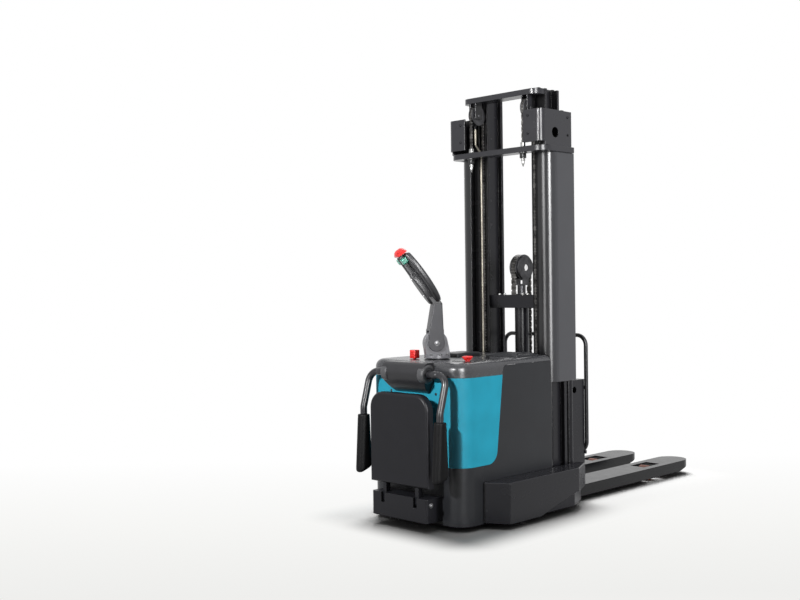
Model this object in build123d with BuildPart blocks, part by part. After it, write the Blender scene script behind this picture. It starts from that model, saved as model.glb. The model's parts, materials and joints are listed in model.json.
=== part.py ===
"""Stand-on electric stacker, at rest: mast down, platform and side arms folded, tiller up and turned.

Millimetres. +X is the truck's right, +Y points along the forks, +Z is up, and the floor is z = 0.
The origin is on the floor, in the middle of the truck's length and width.
"""

import os
from math import cos, radians, sin, sqrt

from build123d import *

os.makedirs("parts", exist_ok=True)

# Lengths along the truck, from the operator's end to the fork tips
front_overhang = 135.0
body_length = 680.0
mast_gap = 20.0
mast_setback = 265.0
fork_length = 1150.0

# Forks, support legs and load wheels
fork_width = 180.0
fork_spread = 540.0
fork_top = 85.0
fork_depth = 60.0
fork_plate = 8.0
fork_step = 2.0
fork_tip_round = 95.0
fork_tip_rise = 36.0
fork_tip_slope = 140.0
window_width = 92.0
window_length = 165.0
load_wheel_setback = 375.0
load_wheel_d = 82.0
load_wheel_width = 60.0
load_axle_d = 20.0
leg_width = 84.0
leg_height = 36.0
leg_bottom = 34.0
leg_nose = 55.0

# Body panels
body_width = 620.0
body_corner = 85.0
shell = 5.0
seam = 0.8
apron_bottom = 25.0
cover_bottom = 300.0
cover_top = 720.0
cover_top_length = 299.0
cover_bottom_length = 247.0
cover_round = 65.0
panel_top = 765.0
panel_round = 30.0
deck_top = 790.0
deck_round = 40.0

# Chassis
skirt_width = 838.0
skirt_setback = 215.0
skirt_nose = 64.0
skirt_flank = 544.0
skirt_tail = 151.0
skirt_tail_width = 696.0
skirt_bottom = 28.0
skirt_top = 223.0
skirt_wall = 8.0
skirt_bend = 6.0
skirt_rise_start = 231.0
skirt_rise_end = 520.0
skirt_rise = 77.0
bay_width = 500.0
bay_rear = 313.0
bridge_top = 312.0
bridge_plate = 12.0
bridge_foot = 20.0

# Castors
castor_inset = 74.0
castor_back = 355.0
castor_wheel_d = 80.0
castor_wheel_width = 30.0
castor_trail = 20.0
castor_stem_d = 25.0
castor_axle_d = 10.0
castor_boss_bottom = 112.0

# Drive unit
steer_back = 172.0
drive_wheel_d = 230.0
drive_wheel_width = 70.0
drive_shaft_d = 40.0
bearing_d = 190.0
neck_d = 140.0
gear_width = 54.0
motor_top = 540.0
column_d = 40.0

# Battery and power units in the body
battery_clear = 20.0
battery_length = 300.0
battery_height = 480.0
unit_width = 120.0
unit_length = 100.0
pump_height = 250.0
controller_height = 170.0

# Mast rails: three nested pairs of I sections
mast_width = 604.0
outer_flange_width = 74.0
outer_groove = 22.0
outer_web = 18.0
outer_flange = 20.0
outer_depth = 120.0
outer_round = 54.0
stage_flange = 16.0
stage_web = 14.0
middle_flange_width = 68.0
inner_flange_width = 52.0
inner_depth = 132.0
rail_slack = 4.0
web_slack = 8.0
foot_bottom = 30.0
foot_top = 60.0
outer_top = 2040.0
middle_top = 2150.0
inner_top = 2165.0

# Mast dressings
cover_plate = 6.0
cover_return = 74.0
cover_foot = 652.0
crossbar_bottom = 1825.0
crossbar_height = 28.0
crossbar_width = 644.0
crossbar_reach = 75.0
crossbar_return = 179.0
crossbar_round = 60.0
box_width = 630.0
box_top = 2034.0
box_plate = 10.0
box_front_reach = 84.0
box_side_end = 166.0
box_front_width = 117.0
box_front_lift = 17.0
box_round = 31.0
eye_d = 54.0
eye_back = 29.0
eye_height = 1920.0
top_bar_bottom = 2120.0
top_bar_height = 28.0
top_bar_inset = 4.0
top_bar_reach = 42.0
top_bar_round = 48.0
rod_lug_bottom = 2000.0
rod_lug_height = 30.0

# Chains and sheaves
chain_thick = 10.0
mast_chain_width = 14.0
mast_chain_x = 175.0
mast_sheave_r = 52.0
mast_sheave_z = 2055.0
mast_sheave_front = 10.0
lift_chain_width = 30.0
lift_sheave_r = 70.0
lift_sheave_z = 1240.0
groove_depth = 10.3
sheave_rim = 5.0
sheave_side_gap = 2.0
mast_sheave_pin_d = 20.0
lift_sheave_pin_d = 24.0

# Cylinders
side_cylinder_d = 44.0
side_cylinder_bore = 36.0
side_rod_d = 28.0
side_cylinder_x = 277.0
side_cylinder_back = 169.0
side_cylinder_top = 1750.0
gland = 40.0
rod_foot = 60.0
lift_cylinder_d = 75.0
lift_cylinder_bore = 54.0
lift_rod_d = 44.0
lift_cylinder_back = 137.0
lift_cylinder_top = 1100.0
tie_height = 45.0
cylinder_bar_bottom = 1026.0
cylinder_bar_height = 70.0
cylinder_bar_plate = 10.0
cylinder_block = 120.0
yoke_cheek = 8.0
yoke_disc_d = 124.0

# Hydraulic line at the left rail
pipe_d = 12.0
pipe_x = -164.0
pipe_shift = 39.0
pipe_slant_bottom = 1850.0
pipe_slant_top = 1905.0
pipe_top = 1925.0
pipe_bend = 20.0
fitting_d = 20.0
fitting_height = 65.0
hose_d = 18.0
hose_bend = 20.0

# Carriage
post_width = 44.0
post_depth = 67.0
post_top = 645.0
post_cheek = 52.0
plate_thick = 20.0
lower_plate_top = 240.0
upper_plate_bottom = 500.0
upper_plate_top = 630.0
heel_plate = 15.0
guide_width = 48.0
guide_height = 100.0
anchor_width = 40.0
anchor_height = 60.0
post_hole_d = 34.0
post_hole_drop = 52.0
backrest_tube_d = 22.0
backrest_half = 276.0
backrest_foot = 257.0
backrest_foot_in = 62.0
backrest_top = 876.0
backrest_bend = 55.0
backrest_pad = 18.0
backrest_pad_drop = 45.0

# Platform, its bracket and the side arms
bracket_width = 370.0
bracket_bottom = 47.0
bracket_top = 160.0
bracket_reach = 108.0
slot_width = 24.0
slot_floor = 112.0
slot_depth = 50.0
lug_x = 108.0
lug_width = 22.0
lug_r = 14.0
platform_pin_d = 16.0
platform_pin_z = 130.0
platform_pin_reach = 81.0
platform_width = 390.0
platform_bottom = 207.0
platform_top = 644.0
platform_thick = 40.0
platform_corner = 80.0
platform_edge = 14.0
mat_margin = 28.0
mat_thick = 4.0
housing_width = 278.0
housing_foot_width = 216.0
housing_foot = 640.0
housing_top = 788.0
housing_reach = 78.0
arm_axis_reach = 38.0
arm_axis_z = 735.0
arm_tube_d = 34.0
arm_half = 257.0
arm_bend = 55.0
arm_lean = 50.0
arm_knee_z = 560.0
arm_seat = 45.0
pad_top = 524.0
pad_bottom = 235.0
pad_width = 58.0
pad_depth_top = 57.0
pad_depth_bottom = 86.0
pad_round = 18.0

# Tiller
steer_angle = -30.0
tiller_pivot_back = 162.0
tiller_pivot_z = 870.0
tiller_bolt_d = 16.0
tiller_boss_d = 82.0
tiller_shield = 40.0
tiller_shield_d = 118.0
tiller_base_bottom = 796.0
tiller_base_length = 128.0
tiller_base_plate = 14.0
tiller_arm_width = 60.0
tiller_arm_foot = 74.0
tiller_arm_neck = 46.0
tiller_arm_z = 1062.0
tiller_arm_shoulder = 61.0
head_back = 171.0
head_length = 330.0
head_width = 196.0
head_thick = 58.0
head_tilt = 54.0
head_round = 22.0
head_ring = 30.0
head_ring_round = 12.0
head_lobe_length = 190.0
head_lobe_centre = 105.0
head_lobe_width = 66.0
head_lobe_round = 9.0
head_cut = 296.0
head_neck = 44.0
head_opening_width = 146.0
head_opening_length = 196.0
head_opening_centre = 142.0
head_spine = 72.0
button_gap = 7.0
button_stem_d = 16.0
button_stem = 14.0
butterfly_at = 271.0
butterfly_sink = 11.0
butterfly_post = 24.0
butterfly_slot_width = 108.0
butterfly_slot_length = 38.0
butterfly_barrel_d = 34.0
butterfly_width = 102.0
butterfly_wing = 30.0
butterfly_wing_width = 34.0
butterfly_wing_height = 37.0
butterfly_wing_round = 6.0
butterfly_pin_d = 8.0
lift_rocker_at = 200.0
lift_rocker_width = 40.0
lift_rocker_length = 24.0
lift_rocker_depth = 16.0
lift_rocker_sink = 2.5
lift_rocker_room = 4.0
rocker_pin_d = 5.0

# Deck controls
stop_x = 245.0
stop_back = 120.0
stop_stem_d = 22.0
stop_cap_d = 52.0
stop_cap_bottom = 797.0
stop_top = 818.0
switch_x = -100.0
switch_back = 115.0
switch_size = 36.0
switch_stem_d = 16.0
switch_bottom = 793.0
switch_top = 835.0
key_x = 250.0
key_back = 260.0
key_stem_d = 10.0
key_bow = 20.0
key_thick = 4.0
key_top = 812.0
control_depth = 30.0

# Clearances
running = 0.05
free = 0.3
seat_gap = 0.02

# Screws that show on the lifting boxes
screw_d = 12.0
screw_head = 4.0
screw_inset = 30.0

# Places worked out from the sizes above
operator_y = -(front_overhang + body_length + mast_gap + mast_setback + fork_length) / 2
body_front = operator_y + front_overhang
body_rear = body_front + body_length
mast_front = body_rear + mast_gap
heel_y = mast_front + mast_setback
tip_y = heel_y + fork_length
body_half = body_width / 2
skirt_y = body_front + skirt_setback
steer_y = body_front + steer_back
fork_x = (fork_spread - fork_width) / 2
fork_bottom = fork_top - fork_depth
load_wheel_y = tip_y - load_wheel_setback
load_wheel_z = load_wheel_d / 2
castor_x = skirt_width / 2 - castor_inset
castor_y = body_front + castor_back
castor_wheel_y = castor_y + castor_trail
castor_wheel_z = castor_wheel_d / 2
outer_half = mast_width / 2
outer_in = outer_half - outer_flange_width
outer_web_in = outer_half - outer_groove - outer_web
middle_y = mast_front + outer_flange + rail_slack
middle_depth = outer_depth + stage_flange - outer_flange
middle_half = outer_web_in - rail_slack
middle_in = middle_half - middle_flange_width
middle_web_out = outer_in - web_slack
middle_web_in = middle_web_out - stage_web
inner_y = middle_y + stage_flange + rail_slack
inner_half = middle_web_in - rail_slack
inner_in = inner_half - inner_flange_width
inner_web_out = middle_in - rail_slack
inner_web_in = inner_web_out - stage_web
cylinder_y = mast_front + lift_cylinder_back
leg_top = leg_bottom + leg_height
leg_rear = mast_front + outer_depth + rail_slack
stage_bottom = leg_top + free
tie_top = stage_bottom + tie_height
tie_front = inner_y + stage_flange + rail_slack
tie_rear = inner_y + inner_depth - stage_flange - rail_slack
cylinder_bar_top = cylinder_bar_bottom + cylinder_bar_height
bridge_half = body_half - shell - free
post_front = heel_y - post_depth
post_out = fork_spread / 2
post_in = post_out - post_width
post_rear = heel_y + post_cheek
crossbar_top = crossbar_bottom + crossbar_height
mast_sheave_y = mast_front - mast_sheave_front
side_cylinder_y = mast_front + side_cylinder_back
platform_y = body_front - bracket_reach
platform_pin_y = body_front - platform_pin_reach
arm_y = body_front - arm_axis_reach
tiller_pivot_y = body_front + tiller_pivot_back
lift_rocker_deep = lift_rocker_sink - head_thick / 2
mast_sheave_width = mast_chain_width + sheave_side_gap + 2 * sheave_rim
lift_sheave_width = lift_chain_width + sheave_side_gap + 2 * sheave_rim
head_plane = Plane(
    origin=(0, body_front + head_back, tiller_arm_z),
    x_dir=(1, 0, 0),
    z_dir=(0, -sin(radians(head_tilt)), -cos(radians(head_tilt))),
)


def block(x0, x1, y0, y1, z0, z1, mode=Mode.ADD):
    """A box between two corners, in the part that is being built."""
    with Locations(((x0 + x1) / 2, (y0 + y1) / 2, (z0 + z1) / 2)):
        Box(abs(x1 - x0), abs(y1 - y0), abs(z1 - z0), mode=mode)


def rod_x(x0, x1, y, z, d, mode=Mode.ADD):
    """A round bar along X."""
    with Locations(Location(((x0 + x1) / 2, y, z), (0, 90, 0))):
        Cylinder(d / 2, abs(x1 - x0), mode=mode)


def rod_z(x, y, z0, z1, d, mode=Mode.ADD):
    """A round bar along Z."""
    with Locations((x, y, (z0 + z1) / 2)):
        Cylinder(d / 2, z1 - z0, mode=mode)


def flat(x0, x1, y0, y1, mode=Mode.ADD):
    """A rectangle between two corners, in the sketch that is being drawn."""
    with Locations(((x0 + x1) / 2, (y0 + y1) / 2)):
        Rectangle(abs(x1 - x0), abs(y1 - y0), mode=mode)


def save(piece, name):
    """Label a finished piece and write it."""
    piece.label = name
    export_step(piece, f"parts/{name}.step")


def steered(piece):
    """Turn a piece of the steering about its upright axis, to the way it stands at rest."""
    return piece.rotate(Axis((0, steer_y, 0), (0, 0, 1)), steer_angle)


# Chassis: a folded skirt with the battery floor on top and a bridge over the drive bay
def skirt_outline(inset):
    """Plan of the skirt, drawn in by a wall's thickness."""
    half = skirt_width / 2
    tail = skirt_tail_width / 2
    slot = outer_half + rail_slack
    right = [
        (body_half, skirt_y - skirt_nose),
        (half, skirt_y),
        (half, skirt_y + skirt_flank),
        (tail, skirt_y + skirt_flank + skirt_tail),
        (slot, skirt_y + skirt_flank + skirt_tail),
        (slot, body_rear),
    ]
    left = [(-x, y) for x, y in reversed(right)]
    Polygon(*right, *left)
    if inset:
        offset(amount=-inset, kind=Kind.INTERSECTION)


with BuildPart() as chassis:
    with BuildSketch(Plane.XY.offset(skirt_bottom)):
        skirt_outline(0)
    extrude(amount=skirt_top - skirt_bottom)
    bends = chassis.edges().filter_by(Axis.Z).group_by(Axis.X)
    fillet(bends[0] + bends[-1], skirt_bend)
    rim = chassis.faces().sort_by(Axis.Z)[-1].edges()
    fillet(rim.filter_by(lambda edge: abs(edge.center().X) > body_half), skirt_bend)
    with BuildSketch(Plane.XY.offset(skirt_bottom)):
        skirt_outline(skirt_wall)
    extrude(amount=skirt_top - skirt_bottom - skirt_wall, mode=Mode.SUBTRACT)
    for side in (-1, 1):
        with BuildSketch(Plane.YZ.offset(side * (outer_half + rail_slack))):
            Polygon(
                (skirt_y + skirt_rise_start, skirt_bottom),
                (skirt_y + skirt_rise_end, skirt_bottom + skirt_rise),
                (skirt_y + skirt_flank + 2 * skirt_tail, skirt_bottom + skirt_rise),
                (skirt_y + skirt_flank + 2 * skirt_tail, 0),
                (skirt_y + skirt_rise_start, 0),
            )
        extrude(amount=side * skirt_width, mode=Mode.SUBTRACT)
    block(
        -bay_width / 2,
        bay_width / 2,
        skirt_y - 2 * skirt_nose,
        body_front + bay_rear,
        0,
        skirt_top + skirt_wall,
        Mode.SUBTRACT,
    )
    bridge_front = body_front + body_corner
    bridge_rear = steer_y + bearing_d / 2 + bridge_foot
    for side in (-1, 1):
        block(
            side * bridge_half,
            side * (bridge_half - bridge_foot),
            skirt_y - skirt_nose + skirt_wall,
            bridge_rear,
            skirt_top,
            bridge_top - bridge_plate,
        )
        rod_z(side * castor_x, castor_y, castor_boss_bottom, skirt_top - skirt_wall, 2 * castor_stem_d)
        rod_z(
            side * castor_x,
            castor_y,
            castor_boss_bottom,
            skirt_top - skirt_wall,
            castor_stem_d + 2 * running,
            Mode.SUBTRACT,
        )
    block(
        -bridge_half,
        bridge_half,
        bridge_front,
        bridge_rear,
        bridge_top - bridge_plate,
        bridge_top,
    )
    rod_z(0, steer_y, bridge_top - bridge_plate, bridge_top, neck_d + 2 * web_slack, Mode.SUBTRACT)
save(chassis.part, "chassis")

# Support legs: two beams inside the forks, each ending in a fork for its load wheel
with BuildPart() as support_legs:
    for side in (-1, 1):
        x = side * fork_x
        block(
            x - leg_width / 2,
            x + leg_width / 2,
            leg_rear,
            load_wheel_y + leg_nose,
            leg_bottom,
            leg_top,
        )
        block(
            x - load_wheel_width / 2 - rail_slack / 2,
            x + load_wheel_width / 2 + rail_slack / 2,
            load_wheel_y - leg_nose,
            load_wheel_y + 2 * leg_nose,
            0,
            fork_top,
            Mode.SUBTRACT,
        )
        rod_x(x - leg_width, x + leg_width, load_wheel_y, load_wheel_z, load_axle_d, Mode.SUBTRACT)
save(support_legs.part, "support_legs")


def load_wheel(side):
    """A polyurethane load wheel on its axle."""
    x = side * fork_x
    with BuildPart() as wheel:
        rod_x(x - load_wheel_width / 2, x + load_wheel_width / 2, load_wheel_y, load_wheel_z, load_wheel_d)
        chamfer(wheel.edges().filter_by(GeomType.CIRCLE), load_axle_d / 8)
        rod_x(
            x - load_wheel_width,
            x + load_wheel_width,
            load_wheel_y,
            load_wheel_z,
            load_axle_d + 2 * running,
            Mode.SUBTRACT,
        )
    return wheel.part


save(load_wheel(-1), "load_wheel_left")
save(load_wheel(1), "load_wheel_right")


# Castors: a stem, a crown and two cheeks, with a wheel that trails behind the stem
def castor_fork(side):
    """The swivelling fork of one castor."""
    x = side * castor_x
    half = castor_wheel_width / 2 + rail_slack / 2
    cheek = castor_axle_d / 2
    crown_bottom = castor_wheel_d + rail_slack
    with BuildPart() as fork:
        rod_z(x, castor_y, crown_bottom, skirt_top - skirt_wall, castor_stem_d)
        block(
            x - half - cheek,
            x + half + cheek,
            castor_y - castor_stem_d / 2,
            castor_wheel_y + castor_axle_d,
            crown_bottom,
            castor_boss_bottom - free,
        )
        for face in (-1, 1):
            block(
                x + face * half,
                x + face * (half + cheek),
                castor_wheel_y - castor_axle_d,
                castor_wheel_y + castor_axle_d,
                castor_wheel_z - castor_axle_d,
                crown_bottom,
            )
        rod_x(x - half - cheek, x + half + cheek, castor_wheel_y, castor_wheel_z, castor_axle_d)
    return fork.part


def castor_wheel(side):
    """The wheel of one castor."""
    x = side * castor_x
    half = castor_wheel_width / 2
    with BuildPart() as wheel:
        rod_x(x - half, x + half, castor_wheel_y, castor_wheel_z, castor_wheel_d)
        chamfer(wheel.edges().filter_by(GeomType.CIRCLE), castor_axle_d / 4)
        rod_x(
            x - half,
            x + half,
            castor_wheel_y,
            castor_wheel_z,
            castor_axle_d + 2 * running,
            Mode.SUBTRACT,
        )
    return wheel.part


for side, word in ((-1, "left"), (1, "right")):
    save(castor_fork(side), f"castor_fork_{word}")
    save(castor_wheel(side), f"castor_wheel_{word}")


# Drive: bearing ring, gearbox with the motor on top, and the driven wheel
ring_bottom = bridge_top - 2 * bridge_plate
with BuildPart() as steer_bearing:
    rod_z(0, steer_y, ring_bottom, bridge_top - bridge_plate, bearing_d)
    rod_z(0, steer_y, ring_bottom, bridge_top - bridge_plate, neck_d + 2 * running, Mode.SUBTRACT)
save(steer_bearing.part, "steer_bearing")

gear_in = drive_wheel_width / 2 + web_slack
gear_out = gear_in + gear_width
gear_half = neck_d / 2 - web_slack
with BuildPart() as drive_unit:
    block(
        gear_in,
        gear_out,
        steer_y - gear_half,
        steer_y + gear_half,
        drive_wheel_d / 4,
        drive_wheel_d + bridge_foot,
    )
    rod_z(0, steer_y, drive_wheel_d + bridge_foot, ring_bottom - free, bearing_d)
    rod_z(0, steer_y, ring_bottom - free, bridge_top + web_slack, neck_d)
    rod_z(0, steer_y, bridge_top + web_slack, motor_top, neck_d)
    rod_x(-drive_wheel_width / 2, gear_in, steer_y, drive_wheel_d / 2, drive_shaft_d)
save(steered(drive_unit.part), "drive_unit")

with BuildPart() as drive_wheel:
    rod_x(-drive_wheel_width / 2, drive_wheel_width / 2, steer_y, drive_wheel_d / 2, drive_wheel_d)
    chamfer(drive_wheel.edges().filter_by(GeomType.CIRCLE), drive_shaft_d / 8)
    rod_x(
        -drive_wheel_width / 2,
        drive_wheel_width / 2,
        steer_y,
        drive_wheel_d / 2,
        drive_shaft_d + 2 * running,
        Mode.SUBTRACT,
    )
save(steered(drive_wheel.part), "drive_wheel")

# Battery on the chassis floor, power units on the bridge
battery_rear = body_rear - skirt_wall - mast_gap
battery_half = body_half - shell - battery_clear
with BuildPart() as battery:
    block(
        -battery_half,
        battery_half,
        battery_rear - battery_length,
        battery_rear,
        skirt_top,
        skirt_top + battery_height,
    )
    fillet(battery.edges().filter_by(Axis.Z), mast_gap / 2)
save(battery.part, "battery")

unit_out = bridge_half - bridge_foot
with BuildPart() as pump_unit:
    block(
        -unit_out,
        -unit_out + unit_width,
        steer_y - unit_length / 2,
        steer_y + unit_length / 2,
        bridge_top,
        bridge_top + pump_height,
    )
    rod_z(
        -unit_out + unit_width / 2,
        steer_y,
        bridge_top + pump_height,
        bridge_top + 1.5 * pump_height,
        unit_length,
    )
save(pump_unit.part, "pump_unit")

with BuildPart() as controller:
    block(
        unit_out - unit_width,
        unit_out,
        steer_y - unit_length / 2,
        steer_y + unit_length / 2,
        bridge_top,
        bridge_top + controller_height,
    )
    fillet(controller.edges().filter_by(Axis.Z), shell)
save(controller.part, "controller")


# Body panels share one plan: straight flanks and two rounded front corners
def body_plan(rear, inset):
    """Plan of the body from its front face back to a given Y, drawn in by an inset."""
    half = body_half - inset
    front = body_front + inset
    with BuildLine() as outline:
        FilletPolyline(
            (-half, rear),
            (-half, front),
            (half, front),
            (half, rear),
            radius=body_corner - inset,
        )
        Line((half, rear), (-half, rear))
    make_face(outline.edges())


def body_wall(z0, z1, rear):
    """The wall of a panel that follows the body's plan."""
    with BuildSketch(Plane.XY.offset(z0)) as outside:
        body_plan(rear, 0)
    extrude(outside.sketch, amount=z1 - z0)
    with BuildSketch(Plane.XY.offset(z0)) as inside:
        body_plan(rear + shell, shell)
    extrude(inside.sketch, amount=z1 - z0, mode=Mode.SUBTRACT)


def cover_side(gap, mode=Mode.ADD):
    """Side view of the coloured cover, with its slanted rear edge, grown by a gap."""
    base = cover_bottom - gap
    with BuildLine() as outline:
        FilletPolyline(
            (body_front - body_corner, cover_top),
            (body_front - body_corner, base),
            (body_front + cover_bottom_length + gap, base),
            (body_front + cover_top_length + gap, cover_top),
            radius=(shell, cover_round),
        )
        Line((body_front + cover_top_length + gap, cover_top), (body_front - body_corner, cover_top))
    make_face(outline.edges(), mode=mode)


apron_rear = skirt_y - skirt_nose - free
with BuildPart() as apron:
    body_wall(apron_bottom, cover_bottom - seam, apron_rear)
save(apron.part, "apron")

with BuildPart() as drive_cover:
    body_wall(cover_bottom, cover_top, body_front + cover_top_length)
    with BuildSketch(Plane.YZ.offset(-body_width)):
        cover_side(0)
    extrude(amount=2 * body_width, mode=Mode.INTERSECT)
save(drive_cover.part, "drive_cover")

hood_step = body_front + cover_top_length + seam
with BuildPart() as side_panels:
    for side in (-1, 1):
        near = side * body_half if side < 0 else body_half - shell
        with BuildSketch(Plane.YZ.offset(near)) as panel:
            flat(apron_rear + free, body_rear, skirt_top, panel_top - seam)
            cover_side(seam, Mode.SUBTRACT)
            flat(body_front, hood_step + seam, cover_top - seam, panel_top, Mode.SUBTRACT)
            fillet(panel.vertices().group_by(Axis.Y)[-1].sort_by(Axis.X)[0], panel_round)
        extrude(amount=shell)
save(side_panels.part, "side_panels")


# Hood: a moulded deck with a rounded rim, open below, with holes for the column and controls
def hood_form(inset):
    """The hood's solid outside, or its inside when drawn in."""
    with BuildPart() as form:
        with BuildSketch(Plane.XY.offset(cover_top)):
            body_plan(body_rear - inset, inset)
        extrude(amount=deck_top - inset - cover_top)
        rim = form.faces().sort_by(Axis.Z)[-1].edges().sort_by(Axis.Y)[:-1]
        fillet(rim, deck_round - inset)
    return form.part


hood_outside = hood_form(0)
hood_inside = hood_form(shell)
stop_y = body_front + stop_back
switch_y = body_front + switch_back
key_y = body_front + key_back
with BuildPart() as hood:
    add(hood_outside)
    add(hood_inside, mode=Mode.SUBTRACT)
    with BuildSketch(Plane.YZ.offset(-body_width)) as step:
        flat(hood_step, body_rear + body_corner, cover_top - shell, panel_top)
        fillet(step.vertices().group_by(Axis.X)[0].sort_by(Axis.Y)[-1], panel_round + seam)
    extrude(amount=2 * body_width, mode=Mode.SUBTRACT)
    rod_z(0, steer_y, cover_top, deck_top, tiller_base_length, Mode.SUBTRACT)
    rod_z(stop_x, stop_y, cover_top, deck_top, stop_stem_d + 2 * free, Mode.SUBTRACT)
    rod_z(switch_x, switch_y, cover_top, deck_top, switch_stem_d + 2 * free, Mode.SUBTRACT)
    rod_z(key_x, key_y, cover_top, deck_top, key_stem_d + 2 * free, Mode.SUBTRACT)
save(hood.part, "hood")

# Deck controls
with BuildPart() as emergency_stop:
    rod_z(stop_x, stop_y, deck_top - control_depth, stop_cap_bottom, stop_stem_d)
    rod_z(stop_x, stop_y, stop_cap_bottom, stop_top, stop_cap_d)
    fillet(emergency_stop.edges().sort_by(Axis.Z)[-1], stop_cap_d / 6)
save(emergency_stop.part, "emergency_stop")

with BuildPart() as battery_switch:
    rod_z(switch_x, switch_y, deck_top - control_depth, switch_bottom, switch_stem_d)
    block(
        switch_x - switch_size / 2,
        switch_x + switch_size / 2,
        switch_y - switch_size / 2,
        switch_y + switch_size / 2,
        switch_bottom,
        switch_top,
    )
    fillet(battery_switch.edges().filter_by(Axis.Z), switch_size / 8)
save(battery_switch.part, "battery_switch")

with BuildPart() as key_switch:
    rod_z(key_x, key_y, deck_top - control_depth, key_top - key_bow / 2, key_stem_d)
    with Locations(Location((key_x, key_y, key_top - key_bow / 2), (90, 0, 0))):
        Cylinder(key_bow / 2, key_thick)
save(key_switch.part, "key_switch")

# Arm housing: a rounded roll at the front of the hood that carries the side arms
with BuildPart() as arm_housing:
    with BuildSketch(Plane.YZ.offset(-housing_width / 2)):
        with BuildLine():
            Line((body_front, housing_foot), (body_front, housing_top))
            ThreePointArc(
                (body_front, housing_top),
                (body_front - 0.8 * housing_reach, arm_axis_z + 0.55 * housing_reach),
                (body_front - housing_reach, arm_axis_z),
            )
            ThreePointArc(
                (body_front - housing_reach, arm_axis_z),
                (body_front - 0.72 * housing_reach, arm_axis_z - 0.62 * housing_reach),
                (body_front, housing_foot),
            )
        make_face()
    extrude(amount=housing_width)
    with BuildSketch(Plane.XZ.offset(-body_front - housing_reach)):
        Polygon(
            (-housing_width / 2, housing_top),
            (-housing_width / 2, arm_axis_z - arm_tube_d),
            (-housing_foot_width / 2, housing_foot),
            (housing_foot_width / 2, housing_foot),
            (housing_width / 2, arm_axis_z - arm_tube_d),
            (housing_width / 2, housing_top),
        )
    extrude(amount=4 * housing_reach, both=True, mode=Mode.INTERSECT)
    for side in (-1, 1):
        end = side * housing_width / 2
        rod_x(
            end,
            end - side * arm_seat,
            arm_y,
            arm_axis_z,
            arm_tube_d + 2 * running,
            Mode.SUBTRACT,
        )
save(arm_housing.part, "arm_housing")


# Side arms: a bent tube that swings about its own inner end, with a foam pad on the hanging leg
def side_arm(side):
    """The bent tube of one side arm."""
    start = (side * (housing_width / 2 - arm_seat + free), arm_y, arm_axis_z)
    with BuildPart() as arm:
        with BuildLine() as route:
            FilletPolyline(
                start,
                (side * arm_half, arm_y, arm_axis_z),
                (side * arm_half, arm_y - arm_lean, arm_knee_z),
                (side * arm_half, arm_y - arm_lean, pad_top),
                radius=(arm_bend, arm_bend),
            )
        with BuildSketch(Plane(origin=start, z_dir=(side, 0, 0))):
            Circle(arm_tube_d / 2)
        sweep(path=route.wires()[0])
    return arm.part


def arm_pad(side):
    """The foam pad on one side arm, deeper towards its foot."""
    x = side * arm_half
    front_foot = operator_y
    with BuildPart() as pad:
        with BuildSketch(Plane.XY.offset(pad_top)):
            with Locations((x, arm_y - arm_lean)):
                RectangleRounded(pad_width, pad_depth_top, pad_round)
        with BuildSketch(Plane.XY.offset(pad_bottom)):
            with Locations((x, front_foot + pad_depth_bottom / 2)):
                RectangleRounded(pad_width, pad_depth_bottom, pad_round)
        loft()
    return pad.part


for side, word in ((-1, "left"), (1, "right")):
    save(side_arm(side), f"arm_{word}")
    save(arm_pad(side), f"arm_pad_{word}")

# Platform: hinged on a pin in its bracket, folded up against the body
with BuildPart() as platform_bracket:
    half = bracket_width / 2
    block(-half, half, platform_y, body_front, bracket_bottom, bracket_top)
    fillet(platform_bracket.edges().filter_by(Axis.Z).sort_by(Axis.Y)[:2], platform_edge)
    block(
        skirt_wall - half,
        half - skirt_wall,
        platform_y + slot_depth + skirt_wall,
        body_front,
        bracket_bottom + skirt_wall,
        bracket_top - skirt_wall,
        Mode.SUBTRACT,
    )
    for side in (-1, 1):
        block(
            side * lug_x - slot_width / 2,
            side * lug_x + slot_width / 2,
            platform_y,
            platform_y + slot_depth,
            slot_floor,
            bracket_top,
            Mode.SUBTRACT,
        )
    rod_x(
        -half,
        half,
        platform_pin_y,
        platform_pin_z,
        platform_pin_d + 2 * seat_gap,
        Mode.SUBTRACT,
    )
save(platform_bracket.part, "platform_bracket")

with BuildPart() as platform:
    with BuildSketch(Plane.XZ.offset(-platform_y - platform_thick)) as plate:
        flat(-platform_width / 2, platform_width / 2, platform_bottom, platform_top)
        fillet(plate.vertices().group_by(Axis.Y)[-1], platform_corner)
    extrude(amount=platform_thick)
    fillet(platform.faces().sort_by(Axis.Y)[0].edges(), platform_edge)
    for side in (-1, 1):
        with BuildSketch(Plane.YZ.offset(side * lug_x - lug_width / 2)):
            with Locations((platform_pin_y, platform_pin_z)):
                Circle(lug_r)
            flat(
                platform_pin_y - lug_r,
                platform_pin_y + lug_r,
                platform_pin_z,
                platform_bottom + platform_edge,
            )
        extrude(amount=lug_width)
    rod_x(
        -platform_width / 2,
        platform_width / 2,
        platform_pin_y,
        platform_pin_z,
        platform_pin_d + 2 * running,
        Mode.SUBTRACT,
    )
save(platform.part, "platform")

with BuildPart() as platform_mat:
    with BuildSketch(Plane.XZ.offset(-platform_y - platform_thick - mat_thick)) as mat:
        flat(
            mat_margin - platform_width / 2,
            platform_width / 2 - mat_margin,
            platform_bottom + mat_margin,
            platform_top - mat_margin,
        )
        fillet(mat.vertices().group_by(Axis.Y)[-1], platform_corner - mat_margin)
    extrude(amount=mat_thick)
save(platform_mat.part, "platform_mat")

with BuildPart() as pivot_pins:
    rod_x(-bracket_width / 2, bracket_width / 2, platform_pin_y, platform_pin_z, platform_pin_d)
    for side in (-1, 1):
        x = side * fork_x
        rod_x(x - leg_width / 2, x + leg_width / 2, load_wheel_y, load_wheel_z, load_axle_d)
save(pivot_pins.part, "pivot_pins")

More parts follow.
